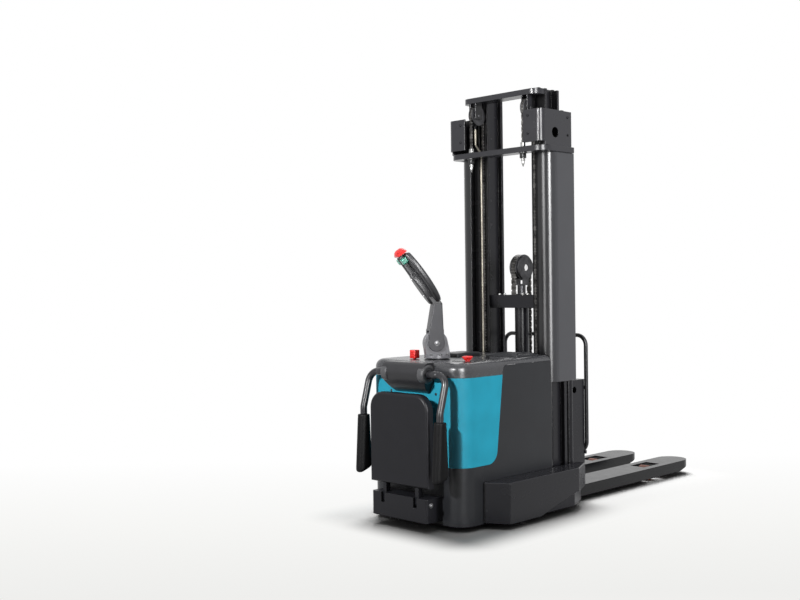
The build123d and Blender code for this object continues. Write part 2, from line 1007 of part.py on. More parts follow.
# Tiller: a base that turns with the drive unit, a forked arm that tilts on its shield, and the head
with BuildPart() as tiller_base:
    rod_z(0, steer_y, motor_top, tiller_base_bottom, column_d)
    rod_z(
        0,
        steer_y,
        tiller_base_bottom,
        tiller_base_bottom + tiller_base_plate,
        tiller_base_length,
    )
    with BuildSketch(Plane.YZ.offset(-tiller_shield / 2)):
        with Locations((tiller_pivot_y, tiller_pivot_z)):
            Circle(tiller_shield_d / 2)
        flat(
            steer_y - tiller_base_length / 2 + shell,
            steer_y + tiller_base_length / 2 - shell,
            tiller_base_bottom + tiller_base_plate / 2,
            tiller_base_bottom + 2 * tiller_base_plate,
        )
        make_hull()
    extrude(amount=tiller_shield)
    bolt_half = tiller_arm_width / 2 + shell
    rod_x(-bolt_half, bolt_half, tiller_pivot_y, tiller_pivot_z, tiller_bolt_d)
save(steered(tiller_base.part), "tiller_base")

shoulder_z = tiller_pivot_z + tiller_arm_shoulder
with BuildPart() as tiller_arm:
    neck_y = body_front + head_back
    with BuildSketch(Plane.YZ.offset(-tiller_arm_width / 2)):
        Polygon(
            (tiller_pivot_y - tiller_arm_foot / 2, shoulder_z),
            (tiller_pivot_y + tiller_arm_foot / 2, shoulder_z),
            (neck_y + tiller_arm_neck / 2, tiller_arm_z),
            (neck_y - tiller_arm_neck / 2, tiller_arm_z),
        )
    extrude(amount=tiller_arm_width)
    fillet(tiller_arm.edges().filter_by(Axis.X, reverse=True).group_by(Axis.Z)[1], shell)
    cheek_in = tiller_shield / 2 + free
    for side in (-1, 1):
        near = cheek_in if side > 0 else -tiller_arm_width / 2
        with BuildSketch(Plane.YZ.offset(near)):
            with Locations((tiller_pivot_y, tiller_pivot_z)):
                Circle(tiller_boss_d / 2)
            flat(
                tiller_pivot_y - tiller_arm_foot / 2,
                tiller_pivot_y + tiller_arm_foot / 2,
                tiller_pivot_z,
                shoulder_z + shell,
            )
        extrude(amount=tiller_arm_width / 2 - cheek_in)
    rod_x(
        -tiller_arm_width,
        tiller_arm_width,
        tiller_pivot_y,
        tiller_pivot_z,
        tiller_bolt_d + 2 * running,
        Mode.SUBTRACT,
    )
save(steered(tiller_arm.part), "tiller_arm")


def head_block(x0, x1, along0, along1, deep0, deep1, mode=Mode.ADD):
    """A box in the tiller head's own frame: across, along towards the tip, and through it."""
    with BuildSketch(head_plane.offset(deep0)) as profile:
        flat(x0, x1, along0, along1)
    extrude(profile.sketch, amount=deep1 - deep0, mode=mode)


def head_bar(x0, x1, along, deep, d, mode=Mode.ADD):
    """A round bar across the tiller head."""
    middle = head_plane.from_local_coords(Vector((x0 + x1) / 2, along, deep))
    rod_x(x0, x1, middle.Y, middle.Z, d, mode)


head_half = head_thick / 2
head_through = Axis(head_plane.origin, head_plane.z_dir)
ring_front = head_ring - head_half
ring_middle = ring_front - head_ring / 2
butterfly_deep = ring_front - butterfly_sink
with BuildPart() as tiller_head:
    with BuildSketch(head_plane.offset(-head_half)):
        with Locations((0, head_length / 2)):
            Ellipse(head_width / 2, head_length / 2)
        flat(-head_width, head_width, head_cut, 2 * head_length, Mode.SUBTRACT)
    extrude(amount=head_ring)
    ends = tiller_head.faces().sort_by(head_through)
    fillet(ends[0].edges() + ends[-1].edges(), head_ring_round)
    with BuildSketch(head_plane.offset(-head_thick)):
        with Locations((0, head_opening_centre)):
            Ellipse(head_opening_width / 2, head_opening_length / 2)
        flat(-head_spine / 2, head_spine / 2, 0, head_length, Mode.SUBTRACT)
    extrude(amount=2 * head_thick, mode=Mode.SUBTRACT)
    with BuildSketch(head_plane.offset(ring_middle)):
        with Locations((0, head_lobe_centre)):
            Ellipse(head_lobe_width / 2, head_lobe_length / 2)
    extrude(amount=head_half - ring_middle)
    fillet(tiller_head.faces().sort_by(head_through)[-1].edges(), head_lobe_round)
    keel_foot = head_plane.from_local_coords((0, head_lobe_centre, (ring_middle + head_half - free) / 2))
    with BuildSketch(Plane(keel_foot, (1, 0, 0), head_plane.y_dir)):
        RectangleRounded(butterfly_post, head_half - free - ring_middle, head_lobe_round)
    extrude(amount=head_cut - head_lobe_centre)
    slot_half = butterfly_slot_width / 2
    for side in (-1, 1):
        head_block(
            min(side * slot_half, side * butterfly_post / 2),
            max(side * slot_half, side * butterfly_post / 2),
            butterfly_at - butterfly_slot_length / 2,
            butterfly_at + butterfly_slot_length / 2,
            -head_thick,
            head_thick,
            Mode.SUBTRACT,
        )
    pin_end = slot_half + butterfly_pin_d
    head_bar(
        -pin_end,
        pin_end,
        butterfly_at,
        butterfly_deep,
        butterfly_pin_d + 2 * running,
        Mode.SUBTRACT,
    )
    with BuildSketch(
        Plane(head_plane.from_local_coords((0, head_cut, ring_middle)), (1, 0, 0), head_plane.y_dir)
    ):
        Circle(button_stem_d / 2 + free)
    extrude(amount=-button_stem, mode=Mode.SUBTRACT)
    head_block(
        -lift_rocker_width / 2 - lift_rocker_room / 2,
        lift_rocker_width / 2 + lift_rocker_room / 2,
        lift_rocker_at - lift_rocker_length / 2 - lift_rocker_room / 2,
        lift_rocker_at + lift_rocker_length / 2 + lift_rocker_room / 2,
        -head_thick,
        lift_rocker_deep + lift_rocker_depth / 2 + lift_rocker_room,
        Mode.SUBTRACT,
    )
    rocker_pin_end = (lift_rocker_width + lift_rocker_room) / 2 + rocker_pin_d
    head_bar(
        -rocker_pin_end,
        rocker_pin_end,
        lift_rocker_at,
        lift_rocker_deep,
        rocker_pin_d + 2 * running,
        Mode.SUBTRACT,
    )
    block(
        -head_width,
        head_width,
        neck_y - head_width,
        neck_y + head_width,
        tiller_arm_z - head_width,
        tiller_arm_z,
        Mode.SUBTRACT,
    )
    neck_end = head_plane.from_local_coords((0, head_neck, 0))
    with BuildSketch(Plane.YZ.offset(-tiller_arm_width / 2)):
        Polygon(
            (neck_y + tiller_arm_neck / 2, tiller_arm_z),
            (neck_y - tiller_arm_neck / 2, tiller_arm_z),
            (neck_end.Y - tiller_arm_neck / 2, neck_end.Z),
            (neck_end.Y + tiller_arm_neck / 2, neck_end.Z),
        )
    extrude(amount=tiller_arm_width)
save(steered(tiller_head.part), "tiller_head")

with BuildPart() as butterfly_switch:
    wing_x = (butterfly_width - butterfly_wing_width) / 2
    with BuildSketch(head_plane.offset(butterfly_deep)):
        with Locations((-wing_x, butterfly_at), (wing_x, butterfly_at)):
            RectangleRounded(butterfly_wing_width, butterfly_wing, butterfly_wing_round)
    extrude(amount=butterfly_wing_height)
    fronts = butterfly_switch.faces().sort_by(head_through)[-2:]
    fillet(fronts[0].edges() + fronts[1].edges(), butterfly_wing_round / 2)
    for side in (-1, 1):
        outer = side * butterfly_width / 2
        inner = side * (butterfly_post / 2 + free)
        head_bar(min(outer, inner), max(outer, inner), butterfly_at, butterfly_deep, butterfly_barrel_d)
    head_bar(free - pin_end, pin_end - free, butterfly_at, butterfly_deep, butterfly_pin_d)
save(steered(butterfly_switch.part), "butterfly_switch")

with BuildPart() as belly_button:
    with BuildSketch(head_plane.offset(-head_half)):
        with Locations((0, head_length / 2)):
            Ellipse(head_width / 2, head_length / 2)
        flat(-head_width, head_width, -head_length, head_cut + button_gap, Mode.SUBTRACT)
    extrude(amount=head_thick)
    caps = belly_button.faces().sort_by(head_through)
    rims = caps[0].edges() + caps[-1].edges()
    fillet(rims.filter_by(GeomType.LINE, reverse=True), head_round)
    stem_foot = head_plane.from_local_coords((0, head_cut + button_gap, ring_middle))
    with BuildSketch(Plane(stem_foot, (1, 0, 0), head_plane.y_dir)):
        Circle(button_stem_d / 2)
    extrude(amount=-button_stem)
save(steered(belly_button.part), "belly_button")

with BuildPart() as lift_rocker:
    head_block(
        -lift_rocker_width / 2,
        lift_rocker_width / 2,
        lift_rocker_at - lift_rocker_length / 2,
        lift_rocker_at + lift_rocker_length / 2,
        lift_rocker_deep - lift_rocker_depth / 2,
        lift_rocker_deep + lift_rocker_depth / 2,
    )
    head_bar(
        free - rocker_pin_end,
        rocker_pin_end - free,
        lift_rocker_at,
        lift_rocker_deep,
        rocker_pin_d,
    )
save(steered(lift_rocker.part), "lift_rocker")


# Mast: three nested pairs of rails
def rail(side, half, width, web_out, web, front, depth, flange):
    """Section of one I rail: two flanges and the web between them."""
    flat(side * half, side * (half - width), front, front + flange)
    flat(side * half, side * (half - width), front + depth - flange, front + depth)
    flat(side * web_out, side * (web_out - web), front + flange / 2, front + depth - flange / 2)


with BuildPart() as outer_rails:
    with BuildSketch(Plane.XY.offset(foot_top)):
        for side in (-1, 1):
            rail(
                side,
                outer_half,
                outer_flange_width,
                outer_half - outer_groove,
                outer_web,
                mast_front,
                outer_depth,
                outer_flange,
            )
        with Locations((0, mast_front + outer_half)):
            RectangleRounded(2 * outer_half, 2 * outer_half, outer_round, mode=Mode.INTERSECT)
    extrude(amount=outer_top - foot_top)
    foot_half = outer_half + rail_slack
    block(-foot_half, foot_half, body_rear, leg_rear, foot_bottom, foot_top)
    for side in (-1, 1):
        block(
            side * foot_half,
            side * (side_cylinder_x - side_cylinder_d / 2 - rail_slack),
            leg_rear,
            side_cylinder_y + side_cylinder_d / 2 + rail_slack,
            foot_bottom,
            foot_top,
        )
save(outer_rails.part, "outer_rails")

with BuildPart() as middle_rails:
    with BuildSketch(Plane.XY.offset(stage_bottom)):
        for side in (-1, 1):
            rail(
                side,
                middle_half,
                middle_flange_width,
                middle_web_out,
                stage_web,
                middle_y,
                middle_depth,
                stage_flange,
            )
    extrude(amount=middle_top - stage_bottom)
    for side in (-1, 1):
        block(
            side * middle_web_out,
            side * (side_cylinder_x + side_rod_d / 2),
            middle_y + middle_depth - stage_flange / 2,
            side_cylinder_y + side_rod_d / 2,
            rod_lug_bottom,
            rod_lug_bottom + rod_lug_height,
        )
save(middle_rails.part, "middle_rails")

mast_chain_reach = mast_sheave_r - groove_depth + chain_thick / 2 + free
with BuildPart() as inner_rails:
    with BuildSketch(Plane.XY.offset(stage_bottom)):
        for side in (-1, 1):
            rail(
                side,
                inner_half,
                inner_flange_width,
                inner_web_out,
                stage_web,
                inner_y,
                inner_depth,
                stage_flange,
            )
    extrude(amount=inner_top - stage_bottom)
    block(-inner_web_in, inner_web_in, tie_front, tie_rear, stage_bottom, tie_top)
    for side in (-1, 1):
        block(
            side * (mast_chain_x - mast_chain_width / 2 - rail_slack),
            side * (mast_chain_x + mast_chain_width / 2 + rail_slack),
            mast_sheave_y + mast_chain_reach - chain_thick,
            tie_front,
            stage_bottom,
            tie_top,
        )
save(inner_rails.part, "inner_rails")

# Outer crossbar: a thick strap round the mast with the two chain anchors on it
anchor_y = mast_sheave_y - mast_chain_reach
with BuildPart() as outer_crossbar:
    with BuildSketch(Plane.XY.offset(crossbar_bottom)) as strap:
        flat(
            -crossbar_width / 2,
            crossbar_width / 2,
            mast_front - crossbar_reach,
            mast_front + crossbar_return,
        )
        fillet(strap.vertices().group_by(Axis.Y)[0], crossbar_round)
        flat(-outer_half, outer_half, mast_front, mast_front + 2 * crossbar_return, Mode.SUBTRACT)
    extrude(amount=crossbar_height)
    for side in (-1, 1):
        rod_z(
            side * mast_chain_x,
            anchor_y,
            crossbar_bottom - 2 * crossbar_height,
            crossbar_bottom,
            mast_chain_width,
        )
        rod_z(
            side * mast_chain_x,
            anchor_y,
            crossbar_bottom - crossbar_height,
            crossbar_bottom,
            2 * mast_chain_width,
        )
save(outer_crossbar.part, "outer_crossbar")

cover_out = outer_half + cover_plate
cover_rear = side_cylinder_y + side_cylinder_d / 2 + rail_slack


def bent_plate(side, inner, out, front, rear, thick, radius):
    """Plan of a plate that is bent round the mast's front corner."""
    with BuildLine() as outline:
        FilletPolyline(
            (side * inner, front),
            (side * out, front),
            (side * out, rear),
            radius=radius,
        )
        Line((side * out, rear), (side * (out - thick), rear))
        FilletPolyline(
            (side * (out - thick), rear),
            (side * (out - thick), front + thick),
            (side * inner, front + thick),
            radius=radius - thick,
        )
        Line((side * inner, front + thick), (side * inner, front))
    make_face(outline.edges())


with BuildPart() as mast_covers:
    with BuildSketch(Plane.XY.offset(cover_foot)):
        for side in (-1, 1):
            bent_plate(
                side,
                outer_half - cover_return,
                cover_out,
                mast_front - cover_plate,
                cover_rear,
                cover_plate,
                outer_round + cover_plate,
            )
    extrude(amount=crossbar_bottom - cover_foot)
save(mast_covers.part, "mast_covers")

# Lifting boxes: bent plates on the crossbar, each with a lifting eye in its side
box_out = box_width / 2
box_front = mast_front - box_front_reach
eye_y = mast_front + eye_back
with BuildPart() as lifting_boxes:
    with BuildSketch(Plane.XY.offset(crossbar_top)):
        for side in (-1, 1):
            bent_plate(
                side,
                box_out - box_front_width,
                box_out,
                box_front,
                mast_front + box_side_end,
                box_plate,
                box_round,
            )
    extrude(amount=box_top - crossbar_top)
    block(
        -box_out,
        box_out,
        box_front,
        box_front + box_round,
        crossbar_top,
        crossbar_top + box_front_lift,
        Mode.SUBTRACT,
    )
    rod_x(-2 * box_out, 2 * box_out, eye_y, eye_height, eye_d, Mode.SUBTRACT)
save(lifting_boxes.part, "lifting_boxes")

with BuildPart() as panel_screws:
    for side in (-1, 1):
        screw_x = side * (box_out - box_front_width + screw_inset)
        for z in (crossbar_top + 2 * screw_inset, box_top - screw_inset):
            with Locations(Location((screw_x, box_front - screw_head / 2, z), (90, 0, 0))):
                Cylinder(screw_d / 2, screw_head)
            rod_x(
                side * box_out,
                side * (box_out + screw_head),
                mast_front + box_side_end - screw_inset,
                z,
                screw_d,
            )
save(panel_screws.part, "panel_screws")

# Top crossbar of the middle mast, with hangers and pins for the chain sheaves
bar_front = mast_front - top_bar_reach
bar_half = middle_half - top_bar_inset
bar_tongue = middle_in - rail_slack
hanger = sheave_rim
with BuildPart() as top_crossbar:
    with BuildSketch(Plane.XY.offset(top_bar_bottom)) as strap:
        flat(-bar_half, bar_half, bar_front, middle_y)
        fillet(strap.vertices().group_by(Axis.Y)[0], top_bar_round)
        flat(-bar_tongue, bar_tongue, middle_y, inner_y - rail_slack / 2)
    extrude(amount=top_bar_height)
    for side in (-1, 1):
        for face in (-1, 1):
            inner_face = side * mast_chain_x + face * (mast_sheave_width / 2 + sheave_side_gap)
            block(
                inner_face,
                inner_face + face * hanger,
                bar_front,
                mast_sheave_y + mast_sheave_pin_d,
                mast_sheave_z - mast_sheave_pin_d,
                top_bar_bottom,
            )
        pin_half = mast_sheave_width / 2 + sheave_side_gap + hanger
        rod_x(
            side * mast_chain_x - pin_half,
            side * mast_chain_x + pin_half,
            mast_sheave_y,
            mast_sheave_z,
            mast_sheave_pin_d,
        )
save(top_crossbar.part, "top_crossbar")


def sheave(x, y, z, radius, width, chain_width, pin_d):
    """A grooved chain wheel."""
    with BuildPart() as wheel:
        rod_x(x - width / 2, x + width / 2, y, z, 2 * radius)
        groove = chain_width / 2 + sheave_side_gap / 2
        with BuildSketch(Plane.YZ.offset(x - groove)):
            with Locations((y, z)):
                Circle(2 * radius)
                Circle(radius - groove_depth, mode=Mode.SUBTRACT)
        extrude(amount=2 * groove, mode=Mode.SUBTRACT)
        rod_x(x - width, x + width, y, z, pin_d + 2 * running, Mode.SUBTRACT)
    return wheel.part


def chain_run(x, y, z, reach, width, foot, front):
    """Half of a chain: a straight run up to a sheave and a quarter turn over it."""
    way = -1 if front else 1
    slant = reach / sqrt(2)
    with BuildPart() as run:
        with BuildLine() as route:
            Line((x, y + way * reach, foot), (x, y + way * reach, z))
            ThreePointArc(
                (x, y + way * reach, z),
                (x, y + way * slant, z + slant),
                (x, y, z + reach),
            )
        with BuildSketch(Plane((x, y + way * reach, foot), (1, 0, 0), (0, 0, 1))):
            Rectangle(width, chain_thick)
        sweep(path=route.wires()[0])
    return run.part


for side, word in ((-1, "left"), (1, "right")):
    save(
        sheave(
            side * mast_chain_x,
            mast_sheave_y,
            mast_sheave_z,
            mast_sheave_r,
            mast_sheave_width,
            mast_chain_width,
            mast_sheave_pin_d,
        ),
        f"mast_sheave_{word}",
    )
with BuildPart() as mast_chain_fixed:
    for side in (-1, 1):
        add(
            chain_run(
                side * mast_chain_x,
                mast_sheave_y,
                mast_sheave_z,
                mast_chain_reach,
                mast_chain_width,
                crossbar_top,
                True,
            )
        )
save(mast_chain_fixed.part, "mast_chain_fixed")

with BuildPart() as mast_chain_running:
    for side in (-1, 1):
        add(
            chain_run(
                side * mast_chain_x,
                mast_sheave_y,
                mast_sheave_z,
                mast_chain_reach,
                mast_chain_width,
                tie_top,
                False,
            )
        )
save(mast_chain_running.part, "mast_chain_running")

# Side cylinders stand behind the outer rails, and their rods push the middle mast up
with BuildPart() as side_cylinders:
    for side in (-1, 1):
        x = side * side_cylinder_x
        neck_z = side_cylinder_top - gland
        rod_z(x, side_cylinder_y, foot_top, side_cylinder_top, side_cylinder_d)
        rod_z(x, side_cylinder_y, foot_top + gland, neck_z, side_cylinder_bore, Mode.SUBTRACT)
        rod_z(x, side_cylinder_y, neck_z, side_cylinder_top, side_rod_d + 2 * running, Mode.SUBTRACT)
save(side_cylinders.part, "side_cylinders")

with BuildPart() as side_rods:
    for side in (-1, 1):
        rod_z(
            side * side_cylinder_x,
            side_cylinder_y,
            foot_top + rod_foot,
            rod_lug_bottom,
            side_rod_d,
        )
save(side_rods.part, "side_rods")

# Hydraulic line: a pipe up the left rail, a fitting, and a hose elbow into the rail's flange
pipe_y = mast_front + free + hose_d / 2
fitting_x = pipe_x - pipe_shift
hose_foot = pipe_top + fitting_height
with BuildPart() as hydraulic_line:
    with BuildLine() as pipe_route:
        FilletPolyline(
            (pipe_x, pipe_y, foot_top),
            (pipe_x, pipe_y, pipe_slant_bottom),
            (fitting_x, pipe_y, pipe_slant_top),
            (fitting_x, pipe_y, pipe_top),
            radius=pipe_bend,
        )
    with BuildSketch(Plane((pipe_x, pipe_y, foot_top), (1, 0, 0), (0, 0, 1))):
        Circle(pipe_d / 2)
    sweep(path=pipe_route.wires()[0])
    rod_z(fitting_x, pipe_y, pipe_top, hose_foot, fitting_d)
    with BuildLine() as hose_route:
        FilletPolyline(
            (fitting_x, pipe_y, hose_foot),
            (fitting_x, pipe_y, hose_foot + hose_bend + rail_slack),
            (-outer_in, pipe_y, hose_foot + hose_bend + rail_slack),
            radius=hose_bend,
        )
    with BuildSketch(Plane((fitting_x, pipe_y, hose_foot), (1, 0, 0), (0, 0, 1))):
        Circle(hose_d / 2)
    sweep(path=hose_route.wires()[0])
save(hydraulic_line.part, "hydraulic_line")

# Free lift: a centre cylinder on the inner mast raises a sheave, and its chain raises the carriage
with BuildPart() as cylinder_crossbar:
    bar_rear = tie_front + cylinder_bar_plate
    block(
        -inner_web_in,
        inner_web_in,
        tie_front,
        bar_rear,
        cylinder_bar_bottom,
        cylinder_bar_top,
    )
    block(
        -cylinder_block / 2,
        cylinder_block / 2,
        bar_rear,
        cylinder_y + cylinder_bar_plate,
        cylinder_bar_bottom,
        cylinder_bar_top,
    )
    rod_z(
        0,
        cylinder_y,
        cylinder_bar_bottom,
        cylinder_bar_top,
        lift_cylinder_d + 2 * seat_gap,
        Mode.SUBTRACT,
    )
save(cylinder_crossbar.part, "cylinder_crossbar")

with BuildPart() as lift_cylinder:
    neck_z = lift_cylinder_top - gland
    rod_z(0, cylinder_y, tie_top, lift_cylinder_top, lift_cylinder_d)
    rod_z(0, cylinder_y, tie_top + gland, neck_z, lift_cylinder_bore, Mode.SUBTRACT)
    rod_z(0, cylinder_y, neck_z, lift_cylinder_top, lift_rod_d + 2 * running, Mode.SUBTRACT)
save(lift_cylinder.part, "lift_cylinder")

yoke_in = lift_sheave_width / 2 + sheave_side_gap
yoke_out = yoke_in + yoke_cheek
yoke_bottom = lift_sheave_z - lift_sheave_r - lift_sheave_pin_d
yoke_front = cylinder_y - lift_rod_d / 2
yoke_rear = cylinder_y + lift_rod_d / 2
with BuildPart() as lift_rod:
    rod_z(0, cylinder_y, tie_top + rod_foot, yoke_bottom, lift_rod_d)
    block(-yoke_out, yoke_out, yoke_front, yoke_rear, yoke_bottom, yoke_bottom + yoke_cheek)
    for side in (-1, 1):
        block(
            side * yoke_in,
            side * yoke_out,
            yoke_front,
            yoke_rear,
            yoke_bottom,
            lift_sheave_z,
        )
        rod_x(side * yoke_in, side * yoke_out, cylinder_y, lift_sheave_z, yoke_disc_d)
    rod_x(-yoke_out, yoke_out, cylinder_y, lift_sheave_z, lift_sheave_pin_d)
save(lift_rod.part, "lift_rod")

lift_chain_reach = lift_sheave_r - groove_depth + chain_thick / 2 + free
save(
    sheave(
        0,
        cylinder_y,
        lift_sheave_z,
        lift_sheave_r,
        lift_sheave_width,
        lift_chain_width,
        lift_sheave_pin_d,
    ),
    "lift_sheave",
)
save(
    chain_run(
        0,
        cylinder_y,
        lift_sheave_z,
        lift_chain_reach,
        lift_chain_width,
        cylinder_bar_top,
        True,
    ),
    "lift_chain_fixed",
)
save(
    chain_run(
        0,
        cylinder_y,
        lift_sheave_z,
        lift_chain_reach,
        lift_chain_width,
        lower_plate_top,
        False,
    ),
    "lift_chain_running",
)

# Carriage: two posts, two cross plates, guides that run in the inner rails, and the heel plates
plate_front = heel_y - heel_plate - rail_slack - plate_thick
plate_rear = plate_front + plate_thick
guide_out = inner_in - rail_slack / 2
shoe_out = inner_web_in - rail_slack
shoe_front = tie_front + cylinder_bar_plate + rail_slack
with BuildPart() as carriage_frame:
    for side in (-1, 1):
        block(side * post_in, side * post_out, post_front, heel_y, fork_bottom, post_top)
        block(side * post_in, side * post_out, heel_y, post_rear, fork_top - fork_step, post_top)
        block(
            side * post_in,
            side * (fork_x - fork_width / 2),
            heel_y - heel_plate,
            heel_y,
            fork_top - fork_plate,
            lower_plate_top,
        )
        block(
            side * (fork_x - fork_width / 2),
            side * post_in,
            plate_rear,
            heel_y - heel_plate,
            fork_top,
            lower_plate_top,
        )
        for guide_z in (tie_top + free, upper_plate_top - guide_height):
            block(
                side * (guide_out - guide_width),
                side * guide_out,
                shoe_front,
                plate_front,
                guide_z,
                guide_z + guide_height,
            )
            block(
                side * guide_out,
                side * shoe_out,
                shoe_front,
                tie_rear,
                guide_z,
                guide_z + guide_height,
            )
        rod_x(
            side * post_in,
            side * post_out,
            heel_y - post_depth / 2,
            post_top - post_hole_drop,
            post_hole_d,
            Mode.SUBTRACT,
        )
    block(-post_in, post_in, plate_front, plate_rear, fork_top, lower_plate_top)
    block(-post_in, post_in, plate_front, plate_rear, upper_plate_bottom, upper_plate_top)
    block(
        -anchor_width / 2,
        anchor_width / 2,
        cylinder_y + lift_chain_reach - chain_thick,
        plate_front,
        lower_plate_top - anchor_height,
        lower_plate_top,
    )
save(carriage_frame.part, "carriage_frame")


def fork_plan(x, inset):
    """Plan of one fork, with its rounded tip, drawn in by an inset."""
    half = fork_width / 2 - inset
    flat(x - half, x + half, heel_y, tip_y - fork_tip_round)
    with Locations((x, tip_y - fork_tip_round)):
        Ellipse(half, fork_tip_round - inset)


with BuildPart() as forks:
    for side in (-1, 1):
        with BuildSketch(Plane.XY.offset(fork_bottom)):
            fork_plan(side * fork_x, 0)
        extrude(amount=fork_depth)
        with BuildSketch(Plane.XY.offset(fork_bottom)):
            fork_plan(side * fork_x, fork_plate)
        extrude(amount=fork_depth - fork_plate, mode=Mode.SUBTRACT)
        block(
            side * fork_x - window_width / 2,
            side * fork_x + window_width / 2,
            load_wheel_y - window_length / 2,
            load_wheel_y + window_length / 2,
            fork_bottom,
            2 * fork_top,
            Mode.SUBTRACT,
        )
        block(
            side * fork_x - fork_width / 2,
            side * fork_x + fork_width / 2,
            heel_y,
            post_rear + fork_plate / 2,
            fork_top - fork_step,
            fork_top,
            Mode.SUBTRACT,
        )
    with BuildSketch(Plane.YZ.offset(-fork_spread)):
        Polygon(
            (tip_y - fork_tip_slope, fork_bottom),
            (tip_y, fork_bottom + fork_tip_rise),
            (tip_y, 0),
            (tip_y - fork_tip_slope, 0),
        )
    extrude(amount=2 * fork_spread, mode=Mode.SUBTRACT)
save(forks.part, "forks")

backrest_y = post_rear + backrest_tube_d / 2
with BuildPart() as load_backrest:
    foot_x = backrest_half - backrest_foot_in
    with BuildLine() as route:
        FilletPolyline(
            (-foot_x, backrest_y, backrest_foot),
            (-backrest_half, backrest_y, backrest_foot),
            (-backrest_half, backrest_y, backrest_top),
            (backrest_half, backrest_y, backrest_top),
            (backrest_half, backrest_y, backrest_foot),
            (foot_x, backrest_y, backrest_foot),
            radius=backrest_bend,
        )
    with BuildSketch(Plane((-foot_x, backrest_y, backrest_foot), (0, 1, 0), (-1, 0, 0))):
        Circle(backrest_tube_d / 2)
    sweep(path=route.wires()[0])
    for side in (-1, 1):
        for pad_z in (backrest_foot, post_top - backrest_pad_drop):
            block(
                side * (post_out - backrest_pad),
                side * backrest_half,
                post_rear,
                backrest_y,
                pad_z - backrest_pad / 2,
                pad_z + backrest_pad / 2,
            )
save(load_backrest.part, "load_backrest")
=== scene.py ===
# %% [markdown]
# # A stand-on electric stacker
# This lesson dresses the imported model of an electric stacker: a small battery truck with a
# telescopic mast, two forks, a steering tiller, a fold-down platform and two swinging side arms.
# The solids arrive as a fixed frame in metres. Nothing in that frame is moved. We give every solid
# a finish, and build the small or soft pieces that the solids only stand in for.

# %% Load the frame
import json
from math import cos, pi, radians, sin, sqrt

import bmesh
import bpy
from mathutils import Matrix, Vector


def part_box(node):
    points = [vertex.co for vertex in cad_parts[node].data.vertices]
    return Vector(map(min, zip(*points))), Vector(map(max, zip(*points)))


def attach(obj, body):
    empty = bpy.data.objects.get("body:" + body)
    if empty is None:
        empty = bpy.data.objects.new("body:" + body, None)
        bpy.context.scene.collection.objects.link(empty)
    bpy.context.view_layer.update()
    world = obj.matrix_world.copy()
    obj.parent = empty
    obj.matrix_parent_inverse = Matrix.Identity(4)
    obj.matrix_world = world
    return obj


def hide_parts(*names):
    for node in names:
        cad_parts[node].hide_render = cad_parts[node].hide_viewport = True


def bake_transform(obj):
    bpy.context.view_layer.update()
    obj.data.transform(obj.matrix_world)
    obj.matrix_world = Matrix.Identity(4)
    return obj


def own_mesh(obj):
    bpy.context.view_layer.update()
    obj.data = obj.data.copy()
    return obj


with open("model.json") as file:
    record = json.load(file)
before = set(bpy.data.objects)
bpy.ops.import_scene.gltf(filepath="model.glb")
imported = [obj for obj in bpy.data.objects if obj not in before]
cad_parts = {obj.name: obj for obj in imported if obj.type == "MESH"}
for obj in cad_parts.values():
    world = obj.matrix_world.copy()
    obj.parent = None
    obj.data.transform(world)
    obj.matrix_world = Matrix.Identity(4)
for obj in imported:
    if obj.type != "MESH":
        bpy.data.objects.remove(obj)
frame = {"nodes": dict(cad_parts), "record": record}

scene = bpy.context.scene
nodes = frame["nodes"]
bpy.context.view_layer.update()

# %% [markdown]
# ## Camera
# The photograph looks along the truck's right front corner with a long lens, a little above the
# deck. A camera could be aimed with a Track To constraint. Here its three axes are written out from
# the heading, the dip and the small roll that were found from the picture's straight edges, because
# a roll is awkward to give to a constraint.

# %% Camera
heading = radians(45.256)
dip = radians(0.936)
roll = radians(-0.762)
camera_place = (3.609, -4.648, 1.169)
film_width = 36.0
focal_over_width = 1069.0 / 800.0
ahead = Vector((-sin(heading) * cos(dip), cos(heading) * cos(dip), -sin(dip)))
level_right = Vector((cos(heading), sin(heading), 0.0))
level_up = level_right.cross(ahead)
right = level_right * cos(roll) + level_up * sin(roll)
up = level_up * cos(roll) - level_right * sin(roll)
camera_data = bpy.data.cameras.new("studio_camera")
camera_data.sensor_width = film_width
camera_data.lens = film_width * focal_over_width
camera_data.clip_end = 200.0
camera = bpy.data.objects.new("studio_camera", camera_data)
turn = Matrix((right, up, -ahead)).transposed().to_4x4()
camera.matrix_world = Matrix.Translation(camera_place) @ turn
scene.collection.objects.link(camera)
scene.camera = camera
print("lens", round(camera_data.lens, 2), "mm")

# %% [markdown]
# ## Studio
# In the photograph one lamp stands far in front of the truck's operator end: the right arm throws a
# crisp shadow on the teal cover. Two tall soft boxes draw bright bands down the rounded corners and
# leave the flat faces calm, and a second pair above them makes the bands brighter towards the mast's
# top. All four only show in reflections, so they don't wash the arm's shadow out. A broad light high
# behind the mast brightens the upper edges, and a fill lamp at each flank lights the sides and the rear.
# The white of the background is shown to the camera and to reflections alone, so the truck isn't flooded
# with light.

# %% Lights
scene.view_settings.view_transform = "Standard"


def soft_box(name, place, target, wide, tall, radiance, matt=True, gloss=True):
    """A rectangular lamp that faces a point. Its power follows from how bright its surface looks."""
    data = bpy.data.lights.new(name, "AREA")
    data.shape = "RECTANGLE"
    data.size = wide
    data.size_y = tall
    data.energy = radiance * pi * wide * tall
    lamp = bpy.data.objects.new(name, data)
    aim = (Vector(target) - Vector(place)).to_track_quat("-Z", "Y")
    lamp.matrix_world = Matrix.Translation(place) @ aim.to_matrix().to_4x4()
    lamp.visible_camera = False
    lamp.visible_diffuse = matt
    lamp.visible_glossy = gloss
    scene.collection.objects.link(lamp)
    print(name, round(data.energy, 1), "W")


